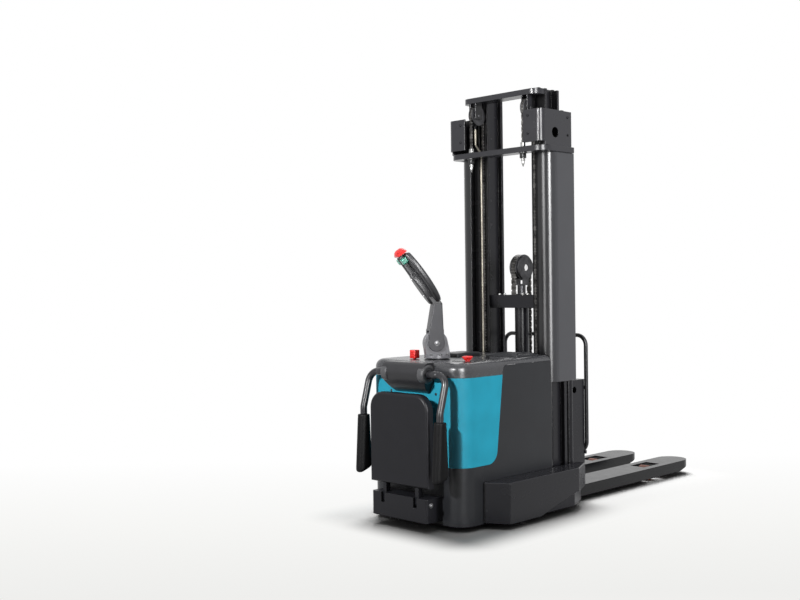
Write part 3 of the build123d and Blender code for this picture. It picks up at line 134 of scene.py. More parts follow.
soft_box("front_key", (0.25, -6.4, 3.36), (0.25, -1.0, 0.5), 0.34, 0.34, 930.0)
soft_box("right_fill", (4.4, 1.7, 1.7), (0.0, 0.0, 1.2), 0.8, 3.4, 27.0, gloss=False)
soft_box("left_fill", (-4.4, 1.7, 1.7), (0.0, 0.0, 1.2), 0.8, 3.4, 24.0, gloss=False)
soft_box("camera_strip", (3.7, -3.05, 1.95), (0.2, -0.5, 1.2), 1.5, 3.2, 15.0, matt=False)
soft_box("front_strip", (-0.6, -5.4, 1.9), (0.0, -0.3, 1.2), 2.0, 3.2, 5.0, matt=False)
soft_box("high_strip", (3.7, -3.05, 3.0), (0.2, -0.5, 1.6), 1.5, 2.4, 16.0, matt=False)
soft_box("high_front", (-0.6, -5.4, 3.0), (0.0, -0.3, 1.6), 2.0, 2.4, 6.0, matt=False)
soft_box("overhead", (0.0, 0.0, 5.2), (0, 0, 0), 5.0, 5.0, 0.7)
soft_box("back_top", (-2.5, 2.7, 4.6), (0.0, 0.0, 0.6), 3.2, 3.2, 2.6)
soft_box("floor_top", (-1.6, 1.8, 5.0), (0, 0, 0), 3.0, 3.0, 8.0, gloss=False)

# %% [markdown]
# A shader is a net of nodes. Two helpers keep the nets below short. One adds a node by its type's name
# without the word ShaderNode in front, and sets plain values, with underscores for the spaces in a
# socket's name. The other joins an output of one node to an input of the next.

# %% Helpers for shader nets
white = (1.0, 1.0, 1.0, 1.0)


def add_node(net, kind, operation=None, **values):
    """Add a node and set its operation and the plain values of its inputs."""
    made = net.nodes.new(f"ShaderNode{kind}")
    if operation:
        made.operation = operation
    for socket, value in values.items():
        made.inputs[socket.replace("_", " ")].default_value = value
    return made


def join(net, *links):
    """Make links, each given as a node, its output, the next node and its input."""
    for source, output, target, entry in links:
        net.links.new(source.outputs[output], target.inputs[entry])


print("net helpers ready")

# %% Room
room_strength = 0.07
world = bpy.data.worlds.new("pale_room")
world.use_nodes = True
scene.world = world
room = world.node_tree
room.nodes.clear()
room_out = add_node(room, "OutputWorld")
room_mix = add_node(room, "MixShader")
room_light = add_node(room, "Background", Color=white, Strength=room_strength)
room_white = add_node(room, "Background", Color=white, Strength=1.0)
rays = add_node(room, "LightPath")
seen = add_node(room, "Math", "MAXIMUM")
join(room,
     (rays, "Is Camera Ray", seen, 0),
     (rays, "Is Glossy Ray", seen, 1),
     (seen, 0, room_mix, "Fac"),
     (room_light, 0, room_mix, 1),
     (room_white, 0, room_mix, 2),
     (room_mix, 0, room_out, "Surface"))
print("room strength", room_strength)

# %% [markdown]
# ## Floor
# The floor is a wide disc. Close to the truck it is an ordinary matt surface, so it takes the soft
# shadow. Further out it fades to the plain white of the room, which hides the floor's edge, and
# a patch between truck and camera is a little darker, as in the photograph. The distance to the truck is
# measured from a rectangle of its outline on the floor. A white floor would throw so much light back up
# that the shadows on the truck would vanish, so for bounced light the floor is grey. The soft shadow
# falls towards the camera, so the floor has its own lamp high behind the truck, and the lamps in front
# and at the flanks leave the floor out. The front lamp is aimed at the body and leaves the mast's rails
# and covers out too. Light linking with a collection of receivers does all this.
# The darker patch is painted shade in the floor's colour.

# %% Floor disc
floor_radius = 60.0
floor_mesh = bpy.data.meshes.new("floor")
floor_form = bmesh.new()
bmesh.ops.create_circle(floor_form, cap_ends=True, segments=96, radius=floor_radius)
floor_form.to_mesh(floor_mesh)
floor_form.free()
floor = bpy.data.objects.new("floor", floor_mesh)
scene.collection.objects.link(floor)
floor_finish = bpy.data.materials.new("pale_floor")
floor_finish.use_nodes = True
print("floor radius", floor_radius, "m")

# %% Floor nodes
half_truck = (0.38, 1.06, 0.0)
shadow_reach = 0.26
along_view = (-0.7103, 0.7039, 0.0)
across_view = (0.7039, 0.7103, 0.0)
patch_near, patch_far = -4.90, 1.20
# Painted shade: the darker tones of the patch between truck and camera.
patch_tones = {0.50: (0.86, 0.86, 0.845, 1.0), 0.70: (0.925, 0.925, 0.91, 1.0)}
open_from, open_to = 3.4, 5.6
bounce_grey = (0.22, 0.22, 0.22, 1.0)
ground = floor_finish.node_tree
ground.nodes.clear()
out = add_node(ground, "OutputMaterial")
matt = add_node(ground, "BsdfDiffuse")
glow = add_node(ground, "Emission")
mix = add_node(ground, "MixShader")
dim = add_node(ground, "BsdfDiffuse", Color=bounce_grey)
bounce = add_node(ground, "MixShader")
place = add_node(ground, "TexCoord")
depth = add_node(ground, "VectorMath", "DOT_PRODUCT")
depth.inputs[1].default_value = along_view
shade = add_node(ground, "ValToRGB")
for element, position in zip(shade.color_ramp.elements, (0.0, 1.0)):
    element.position = position
    element.color = white
for position, patch_tone in patch_tones.items():
    shade.color_ramp.elements.new(position).color = patch_tone
near_far = add_node(ground, "MapRange", From_Min=patch_near, From_Max=patch_far)
aside = add_node(ground, "VectorMath", "DOT_PRODUCT")
aside.inputs[1].default_value = across_view
far_aside = add_node(ground, "Math", "ABSOLUTE")
open_side = add_node(ground, "MapRange", From_Min=open_from, From_Max=open_to)
open_side.interpolation_type = "SMOOTHSTEP"
pale = add_node(ground, "Mix")
pale.data_type = "RGBA"
pale.inputs["B"].default_value = white
mirrored = add_node(ground, "VectorMath", "ABSOLUTE")
beyond = add_node(ground, "VectorMath", "SUBTRACT")
beyond.inputs[1].default_value = half_truck
outside = add_node(ground, "VectorMath", "MAXIMUM")
outside.inputs[1].default_value = (0, 0, 0)
reach = add_node(ground, "VectorMath", "LENGTH")
fade = add_node(ground, "MapRange", From_Min=0.0, From_Max=shadow_reach)
fade.interpolation_type = "SMOOTHSTEP"
path_kind = add_node(ground, "LightPath")
shown = add_node(ground, "Math", "MAXIMUM")
amount = add_node(ground, "Math", "MULTIPLY")
print("floor nodes:", len(ground.nodes))

# %% Floor links
join(ground,
     (place, "Object", depth, 0),
     (depth, "Value", near_far, "Value"),
     (near_far, "Result", shade, "Fac"),
     (place, "Object", aside, 0),
     (aside, "Value", far_aside, 0),
     (far_aside, 0, open_side, "Value"),
     (open_side, "Result", pale, "Factor"),
     (shade, "Color", pale, "A"),
     (pale, "Result", matt, "Color"),
     (pale, "Result", glow, "Color"),
     (place, "Object", mirrored, 0),
     (mirrored, "Vector", beyond, 0),
     (beyond, "Vector", outside, 0),
     (outside, "Vector", reach, 0),
     (reach, "Value", fade, "Value"),
     (fade, "Result", amount, 0),
     (path_kind, "Is Camera Ray", shown, 0),
     (path_kind, "Is Glossy Ray", shown, 1),
     (shown, 0, amount, 1),
     (amount, 0, mix, "Fac"),
     (matt, 0, mix, 1),
     (glow, 0, mix, 2),
     (path_kind, "Is Diffuse Ray", bounce, "Fac"),
     (mix, 0, bounce, 1),
     (dim, 0, bounce, 2),
     (bounce, 0, out, "Surface"))
floor_mesh.materials.append(floor_finish)
print("floor links:", len(ground.links))

# %% What each lamp leaves out
floor_only = bpy.data.collections.new("floor_only")
floor_only.objects.link(floor)
bpy.data.objects["floor_top"].light_linking.receiver_collection = floor_only
mast_solids = [nodes[name] for name in ("mast_covers", "outer_rails", "middle_rails", "inner_rails")]
left_out = {"right_fill": [floor], "left_fill": [floor], "front_key": [floor] + mast_solids}
for lamp_name, unlit in left_out.items():
    receivers = bpy.data.collections.new(f"{lamp_name}_receivers")
    for solid in unlit:
        receivers.objects.link(solid)
    for entry in receivers.collection_objects:
        entry.light_linking.link_state = "EXCLUDE"
    bpy.data.objects[lamp_name].light_linking.receiver_collection = receivers
    print(lamp_name, "leaves out", len(unlit))

# %% [markdown]
# ## Finishes
# No surface on a real truck is one flat colour. Sprayed paint has a faint orange peel, moulded
# covers have a fine leather grain, foam has pores, and steel shows the direction it was worked in.
# All of this can come from noise in the object's own coordinates, so no picture files are needed and
# the pattern has its real size. The helpers below add one layer each, and each finish is kept under
# its name.

# %% Helpers for finishes
finishes = {}


def start_finish(name, colour, rough, metal=0.0, shine=0.5):
    """A finish with its plain values set on the shader's own sockets. Gives its net."""
    made = bpy.data.materials.new(name)
    made.use_nodes = True
    finishes[name] = made
    values = {"Base Color": (*colour, 1.0), "Roughness": rough, "Metallic": metal,
              "Specular IOR Level": shine}
    for socket, value in values.items():
        made.node_tree.nodes["Principled BSDF"].inputs[socket].default_value = value
    return made.node_tree


def pattern(net, size, stretch=(1.0, 1.0, 1.0), detail=2.0):
    """Noise whose spots are about size metres, drawn out along an axis where stretch is below one."""
    place = add_node(net, "TexCoord")
    scale = add_node(net, "Mapping", Scale=stretch)
    noise = add_node(net, "TexNoise", Scale=1.0 / size, Detail=detail)
    join(net, (place, "Object", scale, "Vector"), (scale, "Vector", noise, "Vector"))
    return noise, "Fac"


def pores(net, size):
    """Rounded cells about size metres across."""
    place = add_node(net, "TexCoord")
    cells = add_node(net, "TexVoronoi", Scale=1.0 / size)
    join(net, (place, "Object", cells, "Vector"))
    return cells, "Distance"


def colour_between(net, value, dark, light):
    """Let a pattern move the colour between two tones."""
    tones = add_node(net, "ValToRGB")
    for element, position, colour in zip(tones.color_ramp.elements, (0.32, 0.68), (dark, light)):
        element.position = position
        element.color = (*colour, 1.0)
    shader = net.nodes["Principled BSDF"]
    join(net, (*value, tones, "Fac"), (tones, "Color", shader, "Base Color"))


def rough_between(net, value, low, high):
    """Let a pattern move the roughness between two values."""
    span = add_node(net, "MapRange", From_Min=0.3, From_Max=0.7, To_Min=low, To_Max=high)
    shader = net.nodes["Principled BSDF"]
    join(net, (*value, span, "Value"), (span, "Result", shader, "Roughness"))


def raised(net, value, height, strength=1.0, edge=0.0):
    """Let a pattern stand up from the surface by a height in metres, and soften sharp edges."""
    bump = add_node(net, "Bump", Strength=strength, Distance=height)
    shader = net.nodes["Principled BSDF"]
    join(net, (*value, bump, "Height"), (bump, "Normal", shader, "Normal"))
    if edge:
        soft = add_node(net, "Bevel", Radius=edge)
        soft.samples = 6
        join(net, (soft, "Normal", bump, "Normal"))


def tone(colour, factor):
    """A colour made lighter or darker."""
    return tuple(min(1.0, part * factor) for part in colour)


print("finish helpers ready")

# %% [markdown]
# Sprayed steel: the frame, the mast and the forks. A slow cloud of tone keeps large plates from
# looking flat, a fine noise gives the orange peel, and the gloss drifts a little from place to place.
# The edges of real plates are always broken a little, so a Bevel node rounds their shading.

# %% Sprayed paint
def sprayed(name, colour, rough, shine):
    """Powder paint on steel."""
    net = start_finish(name, colour, rough, 0.0, shine)
    colour_between(net, pattern(net, 0.22, detail=3.0), tone(colour, 0.94), tone(colour, 1.06))
    rough_between(net, pattern(net, 0.05), rough * 0.92, rough * 1.08)
    raised(net, pattern(net, 0.0040, detail=1.0), 0.00004, 0.25, 0.004)


sprayed("frame_paint", (0.014, 0.014, 0.017), 0.26, 0.20)
sprayed("platform_alloy", (0.011, 0.011, 0.014), 0.34, 0.16)
sprayed("gear_iron", (0.08, 0.082, 0.088), 0.45, 0.4)
sprayed("battery_case", (0.045, 0.046, 0.05), 0.5, 0.35)
# Painted reflection: the covers' base colour is lighter than the frame's paint.
sprayed("cover_paint_and_sheen", (0.044, 0.045, 0.052), 0.21, 0.50)
sprayed("mast_paint", (0.026, 0.026, 0.031), 0.26, 0.36)
sprayed("tube_paint", (0.026, 0.026, 0.030), 0.20, 0.34)
sprayed("tiller_paint", (0.150, 0.150, 0.164), 0.34, 0.42)
sprayed("arm_paint", (0.046, 0.046, 0.052), 0.34, 0.32)
sprayed("fork_paint", (0.004, 0.004, 0.005), 0.24, 0.18)
print("sprayed finishes:", len(finishes))

# %% [markdown]
# Moulded covers: plastic pressed in an etched mould, so the grain is a field of tiny rounded cells.

# %% Moulded covers
def moulded(name, colour, rough, shine, cell=0.0012, height=0.00006):
    """Moulded plastic with an etched grain."""
    net = start_finish(name, colour, rough, 0.0, shine)
    colour_between(net, pattern(net, 0.12, detail=3.0), tone(colour, 0.93), tone(colour, 1.07))
    rough_between(net, pattern(net, 0.03), rough * 0.9, rough * 1.1)
    raised(net, pores(net, cell), height, 0.5, 0.003)


moulded("panel_grey", (0.018, 0.019, 0.022), 0.36, 0.22)
moulded("cover_teal", (0.026, 0.360, 0.510), 0.55, 0.12)
moulded("trim_black", (0.026, 0.026, 0.029), 0.38, 0.45, 0.0009)
moulded("button_red", (0.88, 0.022, 0.020), 0.32, 0.4, 0.0016, 0.00003)
moulded("button_green", (0.040, 0.41, 0.28), 0.28, 0.5, 0.0016, 0.00003)
moulded("button_grey", (0.19, 0.19, 0.20), 0.36, 0.5, 0.0010, 0.00003)
moulded("collar_grey", (0.070, 0.071, 0.076), 0.34, 0.45)
moulded("hood_grey", (0.045, 0.046, 0.051), 0.27, 0.50)
moulded("housing_grey", (0.024, 0.024, 0.027), 0.34, 0.28)
moulded("gloss_black", (0.010, 0.010, 0.011), 0.16, 0.5, 0.0030, 0.00001)
print("finishes so far:", len(finishes))

# %% [markdown]
# Foam and rubber: the arm pads have a closed skin with pores, the mat is a dull rubber, seals are
# smoother, and the wheels are cast polyurethane with cloudy depth.

# %% Foam, rubber and tread
def rubbery(name, colour, rough, cell, height, cloud=0.05):
    """Foam or rubber with pores."""
    net = start_finish(name, colour, rough, 0.0, 0.09)
    colour_between(net, pattern(net, cloud, detail=4.0), tone(colour, 0.8), tone(colour, 1.25))
    rough_between(net, pattern(net, 0.012), rough * 0.88, min(1.0, rough * 1.12))
    raised(net, pores(net, cell), height, 0.8)


rubbery("foam_black", (0.0036, 0.0036, 0.0040), 0.46, 0.0016, 0.00010)
rubbery("mat_rubber", (0.022, 0.022, 0.024), 0.75, 0.0030, 0.00030)
rubbery("polyurethane", (0.17, 0.058, 0.036), 0.38, 0.0060, 0.00005, 0.02)
rubbery("drive_tread", (0.16, 0.056, 0.036), 0.48, 0.0060, 0.00010, 0.03)
rubbery("seal_rubber", (0.012, 0.012, 0.013), 0.5, 0.0020, 0.00012)
print("finishes so far:", len(finishes))

# %% [markdown]
# Bare metals: turned and zinc-plated steel has fine lines along the way it was worked, chain plates
# are dark with oil and brighter where they rub, the piston rods are chromed and the sheaves are cast.
# The last three values scale the noise along X, Y and Z.

# %% Bare metals
def worked_metal(name, dark, light, low, high, stretch):
    """Steel with lines that follow the direction it was drawn or turned in."""
    net = start_finish(name, light, high, 1.0)
    colour_between(net, pattern(net, 0.03, detail=3.0), dark, light)
    lines = pattern(net, 0.004, stretch, 3.0)
    rough_between(net, lines, low, high)
    raised(net, lines, 0.00002, 0.5)


worked_metal("bright_steel", (0.50, 0.50, 0.51), (0.66, 0.66, 0.67), 0.20, 0.36, (1, 1, 6))
worked_metal("chain_steel", (0.030, 0.029, 0.028), (0.16, 0.155, 0.15), 0.28, 0.50, (1, 1, 1))
worked_metal("rod_chrome", (0.55, 0.55, 0.57), (0.68, 0.68, 0.70), 0.05, 0.14, (8, 8, 0.2))
worked_metal("sheave_iron", (0.045, 0.045, 0.048), (0.085, 0.085, 0.09), 0.36, 0.55, (6, 1, 1))
worked_metal("pipe_zinc", (0.11, 0.102, 0.085), (0.16, 0.149, 0.125), 0.34, 0.48, (6, 6, 0.3))
worked_metal("unit_alloy", (0.34, 0.34, 0.35), (0.46, 0.46, 0.47), 0.40, 0.58, (1, 1, 1))
worked_metal("bolt_steel", (0.13, 0.13, 0.135), (0.21, 0.21, 0.215), 0.26, 0.42, (1, 1, 4))
worked_metal("pin_steel", (0.22, 0.22, 0.22), (0.55, 0.55, 0.55), 0.22, 0.40, (1, 1, 1))
worked_metal("zinc", (0.22, 0.22, 0.22), (0.38, 0.38, 0.37), 0.24, 0.38, (1, 1, 4))
worked_metal("polished", (0.78, 0.78, 0.78), (0.92, 0.92, 0.92), 0.10, 0.22, (1, 1, 1))
print("finishes:", sorted(finishes))

# %% [markdown]
# Every solid of the frame takes the finish of its slot, unless the table names another. The mast's side
# covers and the bent tubes are sprayed with more gloss than the welded frame, and the forks are a deeper
# black. The covers' paint is also lighter than the frame's: a painted reflection on their sides. The
# hood and the tiller are a paler grey than the panels below.

# %% Finishes on the solids
other_finish = {
    "mast_covers": "cover_paint_and_sheen", "forks": "fork_paint", "hood": "hood_grey",
    "arm_housing": "housing_grey", "key_switch": "seal_rubber", "platform_bracket": "platform_alloy",
    "tiller_base": "tiller_paint", "tiller_arm": "arm_paint", "outer_crossbar": "mast_paint",
    "top_crossbar": "mast_paint", "lifting_boxes": "mast_paint", "arm_left": "tube_paint",
    "arm_right": "tube_paint", "load_backrest": "tube_paint",
}
for part in frame["record"]["subparts"]:
    coats = nodes[part["node"]].data.materials
    coats.clear()
    coats.append(finishes[other_finish.get(part["node"], part["material_slot"])])

# %% [markdown]
# ## Helpers for pieces
# Small hardware is mostly turned or cut from bar. A turned piece is a line of radius and height
# points, swept about Z with the spin operator. A block starts as a cube and gets its edges rounded.
# Each shape is made around the origin, then placed with one matrix, so that a bolt can be reused
# facing any way.

# %% Helpers for pieces
def piece(form, name, body, *coats, sharp=35.0):
    """Make an object of a form, with finishes by their names, and let it ride on a body."""
    bmesh.ops.remove_doubles(form, verts=form.verts, dist=0.00001)
    bmesh.ops.recalc_face_normals(form, faces=form.faces)
    mesh = bpy.data.meshes.new(name)
    form.to_mesh(mesh)
    form.free()
    for coat in coats:
        mesh.materials.append(finishes[coat])
    mesh.shade_smooth()
    mesh.set_sharp_from_angle(angle=radians(sharp))
    made = bpy.data.objects.new(name, mesh)
    scene.collection.objects.link(made)
    if body:
        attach(made, body)
    return made


def put(target, form, matrix=None):
    """Place a copy of one form in another."""
    held = bpy.data.meshes.new("held")
    form.to_mesh(held)
    if matrix:
        held.transform(matrix)
    target.from_mesh(held)
    bpy.data.meshes.remove(held)


def placed(form, matrix):
    """Move a whole form to its place."""
    bmesh.ops.transform(form, matrix=matrix, verts=form.verts)
    return form


def facing(place, direction, own_axis=(0, 0, 1)):
    """The matrix that stands a form on a place, with its own axis pointing in a direction."""
    turn = Vector(own_axis).rotation_difference(Vector(direction))
    return Matrix.Translation(place) @ turn.to_matrix().to_4x4()


def lathe(profile, segments=28):
    """A turned form: radius and height points swept about Z."""
    form = bmesh.new()
    points = [form.verts.new((radius, 0.0, height)) for radius, height in profile]
    line = [form.edges.new(pair) for pair in zip(points, points[1:])]
    bmesh.ops.spin(form, geom=points + line, cent=(0, 0, 0), axis=(0, 0, 1),
                   angle=2.0 * pi, steps=segments, use_merge=True)
    return form


def rounded(form, edges, radius, segments=3):
    """Round some edges of a form."""
    bmesh.ops.bevel(form, geom=edges, offset=radius, offset_type="OFFSET", segments=segments,
                    profile=0.5, affect="EDGES", material=-1, clamp_overlap=True)


def bar(low, high, radius, segments=3):
    """A block between two corners with every edge rounded."""
    form = bmesh.new()
    low, high = Vector(low), Vector(high)
    bmesh.ops.create_cube(form, size=1.0)
    bmesh.ops.scale(form, vec=high - low, verts=form.verts)
    bmesh.ops.translate(form, vec=(low + high) / 2.0, verts=form.verts)
    rounded(form, form.edges[:], radius, segments)
    return form


def thicken(form, height):
    """Draw a flat form up into a plate."""
    drawn_up = bmesh.ops.extrude_face_region(form, geom=form.faces[:])["geom"]
    top = [item for item in drawn_up if isinstance(item, bmesh.types.BMVert)]
    bmesh.ops.translate(form, vec=(0.0, 0.0, height), verts=top)


def hexagon(across, low, high):
    """A hexagonal nut or bolt head with chamfered corners."""
    form = bmesh.new()
    bmesh.ops.create_circle(form, cap_ends=True, segments=6, radius=across / sqrt(3.0))
    thicken(form, high - low)
    bmesh.ops.translate(form, vec=(0.0, 0.0, low), verts=form.verts)
    rounded(form, form.edges[:], across * 0.05, 2)
    return form


def dome(radius, height, segments=20):
    """A low rounded screw head."""
    shares = ((0.0, 1.0), (0.5, 0.92), (0.86, 0.6), (1.0, 0.0))
    return lathe([(radius * out, height * up) for out, up in shares], segments)


def bolt(across):
    """A hexagon bolt on its washer."""
    washer = across * 0.12
    rim = across * 0.78
    form = lathe([(0.0, 0.0), (rim, 0.0), (rim, washer), (0.0, washer)])
    put(form, hexagon(across, washer, across * 0.62))
    return form


print("piece helpers ready")

# %% [markdown]
# ## Foam arm pads
# On the truck each side arm ends in a slab of moulded foam over the steel tube, with well rounded
# long edges, a square top where the tube goes in and a foot that is cut off at a slant. A cloth
# simulation would swell it like a cushion, but moulded foam keeps its shape, so it is a block whose
# foot is pushed out, then rounded and smoothed by a subdivision surface.

# %% Foam arm pads
pad_top_depth = 0.057
pad_foot_depth = 0.086
pad_slant = 0.030
pad_side_round = 0.0265
pad_foot_round = 0.018
pad_top_round = 0.0035
tall_rise = 0.1
knee_y = -1.078


def tall_edges(form):
    """The edges that run up the whole pad."""
    return [edge for edge in form.edges if abs(edge.verts[0].co.z - edge.verts[1].co.z) > tall_rise]


def foam_pad(word):
    """The pad of one side arm, in the room of its solid."""
    low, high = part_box(f"arm_pad_{word}")
    form = bmesh.new()
    bmesh.ops.create_cube(form, size=1.0)
    bmesh.ops.scale(form, vec=(high.x - low.x, pad_top_depth, high.z - low.z), verts=form.verts)
    middle = Vector(((low.x + high.x) / 2.0, knee_y, (low.z + high.z) / 2.0))
    bmesh.ops.translate(form, vec=middle, verts=form.verts)
    foot = [vert for vert in form.verts if vert.co.z < middle.z]
    front = [vert for vert in foot if vert.co.y < middle.y]
    rear = [vert for vert in foot if vert.co.y > middle.y]
    bmesh.ops.translate(form, vec=(0.0, low.y - front[0].co.y, 0.0), verts=front)
    bmesh.ops.translate(form, vec=(0.0, low.y + pad_foot_depth - rear[0].co.y, pad_slant), verts=rear)
    rounded(form, tall_edges(form), pad_side_round, 6)
    bmesh.ops.recalc_face_normals(form, faces=form.faces)
    foot_face = min(form.faces, key=lambda face: face.calc_center_median().z)
    rounded(form, foot_face.edges[:], pad_foot_round, 4)
    top_face = max(form.faces, key=lambda face: face.calc_center_median().z)
    rounded(form, top_face.edges[:], pad_top_round, 2)
    bmesh.ops.subdivide_edges(form, edges=tall_edges(form), cuts=7, use_grid_fill=True)
    pad = piece(form, f"foam_pad_{word}", f"arm_{word}", "foam_black", sharp=60.0)
    smooth = pad.modifiers.new("smooth", "SUBSURF")
    smooth.levels = 1
    smooth.render_levels = 1
    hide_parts(f"arm_pad_{word}")
    print(pad.name, "height", round(high.z - low.z, 3))


for word in ("left", "right"):
    foam_pad(word)

# %% [markdown]
# ## Arm bearings
# Each arm turns in the end of the housing. A grey collar clasps the housing's end, with a recess round
# the hole, and the arm's tube grows into it through a tapered sleeve. Both are turned pieces on the
# arm's axis. The collar stays with the housing, and the sleeve turns with the arm.

# %% Arm bearings
housing_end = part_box("arm_housing")[1].x
arm_axis_y = -1.028
arm_axis_z = 0.735
sleeve_gap = 0.001
collar_profile = [(0.0200, -0.004), (0.0200, 0.0010), (0.0270, 0.0012), (0.0285, 0.0030),
                  (0.0300, 0.0038), (0.0405, 0.0036), (0.0438, 0.0018), (0.0450, -0.0020),
                  (0.0450, -0.0300), (0.0440, -0.0330), (0.0380, -0.0345)]
sleeve_profile = [(0.0172, 0.060), (0.0180, 0.058), (0.0188, 0.046), (0.0192, 0.020), (0.0192, 0.0)]
for side, word in ((-1, "left"), (1, "right")):
    mouth = facing((side * housing_end, arm_axis_y, arm_axis_z), (side, 0, 0))
    root = facing((side * (housing_end + sleeve_gap), arm_axis_y, arm_axis_z), (side, 0, 0))
    piece(placed(lathe(collar_profile, 48), mouth), f"bearing_collar_{word}", "chassis", "collar_grey")
    piece(placed(lathe(sleeve_profile, 32), root), f"arm_sleeve_{word}", f"arm_{word}", "tube_paint")
print("bearing collars at x", round(housing_end, 3))

# %% [markdown]
# ## Leaf chains
# A leaf chain is a stack of flat plates, laced by turns over pins, with no rollers. The plates of one
# pitch sit between those of the next, which gives the toothed edge that shows in the photograph. One
# could bend a chain along a curve with an array modifier. We place each link ourselves, because a link
# is a straight chord between two pins also where the chain goes round a sheave.

# %% Leaf chain links
plate_share = 0.92
pin_share = 0.27
pin_over = 0.0018


def link(pitch, height, thick, places, pin_length):
    """One pitch of chain: its plates side by side and the pin at its upper end."""
    form = bmesh.new()
    plate = bmesh.new()
    bmesh.ops.create_circle(plate, cap_ends=True, segments=8, radius=height / 2.0,
                            matrix=Matrix.Rotation(pi / 8.0, 4, "Z"))
    lower_half = [vert for vert in plate.verts if vert.co.x < 0.0]
    bmesh.ops.translate(plate, vec=(-pitch, 0.0, 0.0), verts=lower_half)
    thicken(plate, thick)
    upright = Matrix(((0, 0, 1), (0, 1, 0), (1, 0, 0))).to_4x4()
    for place in places:
        put(form, plate, Matrix.Translation((place - thick / 2.0, 0.0, 0.0)) @ upright)
    plate.free()
    count = len(form.faces)
    pin_radius = height * pin_share
    bmesh.ops.create_cone(form, cap_ends=True, segments=8, radius1=pin_radius, radius2=pin_radius,
                          depth=pin_length, matrix=Matrix.Rotation(pi / 2.0, 4, "Y"))
    form.faces.ensure_lookup_table()
    for face in form.faces[count:]:
        face.material_index = 1
    return form


def chain_point(sheave, reach, way, travel):
    """The point at a distance along a chain, counted from the top of its sheave."""
    turn = travel / reach
    if turn < pi / 2.0:
        return sheave + Vector((0.0, way * reach * sin(turn), reach * cos(turn)))
    return sheave + Vector((0.0, way * reach, -(travel - reach * pi / 2.0)))


def leaf_chain(form, sheave, reach, way, foot, pitch, stack, plate_thick, height):
    """Links from the top of a sheave down one side to a foot."""
    length = reach * pi / 2.0 + sheave.z - foot
    count = round(length / pitch)
    step = length / count
    places = [(number - (stack - 1) / 2.0) * plate_thick for number in range(stack)]
    pin_length = stack * plate_thick + pin_over
    wide = link(step, height, plate_thick * plate_share, places[0::2], pin_length)
    narrow = link(step, height, plate_thick * plate_share, places[1::2], pin_length)
    for number in range(count):
        start = chain_point(sheave, reach, way, number * step)
        stop = chain_point(sheave, reach, way, (number + 1) * step)
        put(form, wide if number % 2 else narrow, facing(start, stop - start, (0, 0, -1)))
    wide.free()
    narrow.free()
    return count


print("chain helpers ready")

# %% Leaf chains
mast_sheave_x = 0.175
mast_sheave = Vector((0.0, -0.300, 2.055))
mast_sheaves = [mast_sheave + Vector((side * mast_sheave_x, 0.0, 0.0)) for side in (-1, 1)]
mast_reach = 0.047
mast_links = {"pitch": 0.015875, "stack": 5, "plate_thick": 0.0024, "height": 0.0095}
lift_sheave = Vector((0.0, -0.153, 1.240))
lift_reach = 0.065
lift_links = {"pitch": 0.015875, "stack": 7, "plate_thick": 0.0040, "height": 0.0095}


def hung_chain(node, sheaves, reach, way, links, body=None):
    """The links of one chain node on each of its sheaves. Gives the piece and its box."""
    low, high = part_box(node)
    form = bmesh.new()
    for sheave in sheaves:
        count = leaf_chain(form, sheave, reach, way, low.z, **links)
    chain = piece(form, f"{node}_links", body, "chain_steel", "pin_steel")
    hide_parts(node)
    print(node, count, "links a run")
    return chain, low, high


for node, way, holder in (("mast_chain_fixed", -1, "chassis"), ("mast_chain_running", 1, "inner_mast")):
    chain, low, high = hung_chain(node, mast_sheaves, mast_reach, way, mast_links)
    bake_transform(chain)
chain, low, high = hung_chain("lift_chain_fixed", [lift_sheave], lift_reach, -1, lift_links)
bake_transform(chain)
chain, low, high = hung_chain("lift_chain_running", [lift_sheave], lift_reach, 1, lift_links, "lift_rod")
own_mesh(chain)

# %% [markdown]
# ## Chain anchors
# The fixed ends of the mast chains hang in the crossbar. A threaded anchor goes through it and is held
# underneath by a large black nut, a lock nut and a pointed end that takes a split pin. The anchor itself
# is zinc plated, so it shines among the dark steel. On top, a clevis grips the last link.

# %% Chain anchors
under_bar = 1.825
over_bar = 1.853
anchor_y = mast_sheave.y - mast_reach
washer_profile = [(0.0, 0.0), (0.0215, 0.0), (0.0215, 0.004), (0.0195, 0.005), (0.0, 0.005)]
thread_profile = [(0.0074, 0.0285), (0.0074, 0.0570), (0.0060, 0.0585), (0.0025, 0.0720), (0.0, 0.0730)]
holder_nut = {"across": 0.0320, "low": 0.005, "high": 0.0300}
lock_nut = {"across": 0.0200, "low": 0.0330, "high": 0.0440}
clevis_low = (-0.011, -0.008, 0.0)
clevis_high = (0.011, 0.008, 0.024)
anchors = bmesh.new()
holders = bmesh.new()
for side in (-1, 1):
    x = side * mast_sheave_x
    down = facing((x, anchor_y, under_bar), (0, 0, -1))
    put(holders, lathe(washer_profile), down)
    put(holders, hexagon(**holder_nut), down)
    put(anchors, hexagon(**lock_nut), down)
    put(anchors, lathe(thread_profile), down)
    put(anchors, bar(clevis_low, clevis_high, 0.002, 2), Matrix.Translation((x, anchor_y, over_bar)))
anchor_piece = piece(anchors, "chain_anchors", "chassis", "zinc")
piece(holders, "chain_holders", "chassis", "gloss_black")
print("anchors below", under_bar)

# %% [markdown]
# ## Hydraulic line
# Oil reaches the lift cylinder through a zinc-yellow steel pipe up the left of the mast. Above the
# crossbar the pipe steps aside into a brazed fitting with hexagons, and a black moulded elbow leads into
# the rail. Pipe and elbow are rings that are drawn out along a line and spun round each bend, so their
# bends are true arcs. A curve object with a bevel would do as well, but it can't be measured so easily.

# %% Hydraulic line
line_low, line_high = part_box("hydraulic_line")
pipe = Vector((-0.164, -0.2807, line_low.z))
pipe_radius = 0.006
step_angle = radians(35.34)
step_run = 0.0547
pipe_bend = 0.020
bend_start = 1.8436
fitting_x = -0.203
pipe_end = 1.925
fitting_end = 1.990
fitting_across = 0.0172
elbow_bend = 0.020
elbow_radius = 0.009
elbow_start = fitting_end + 0.004


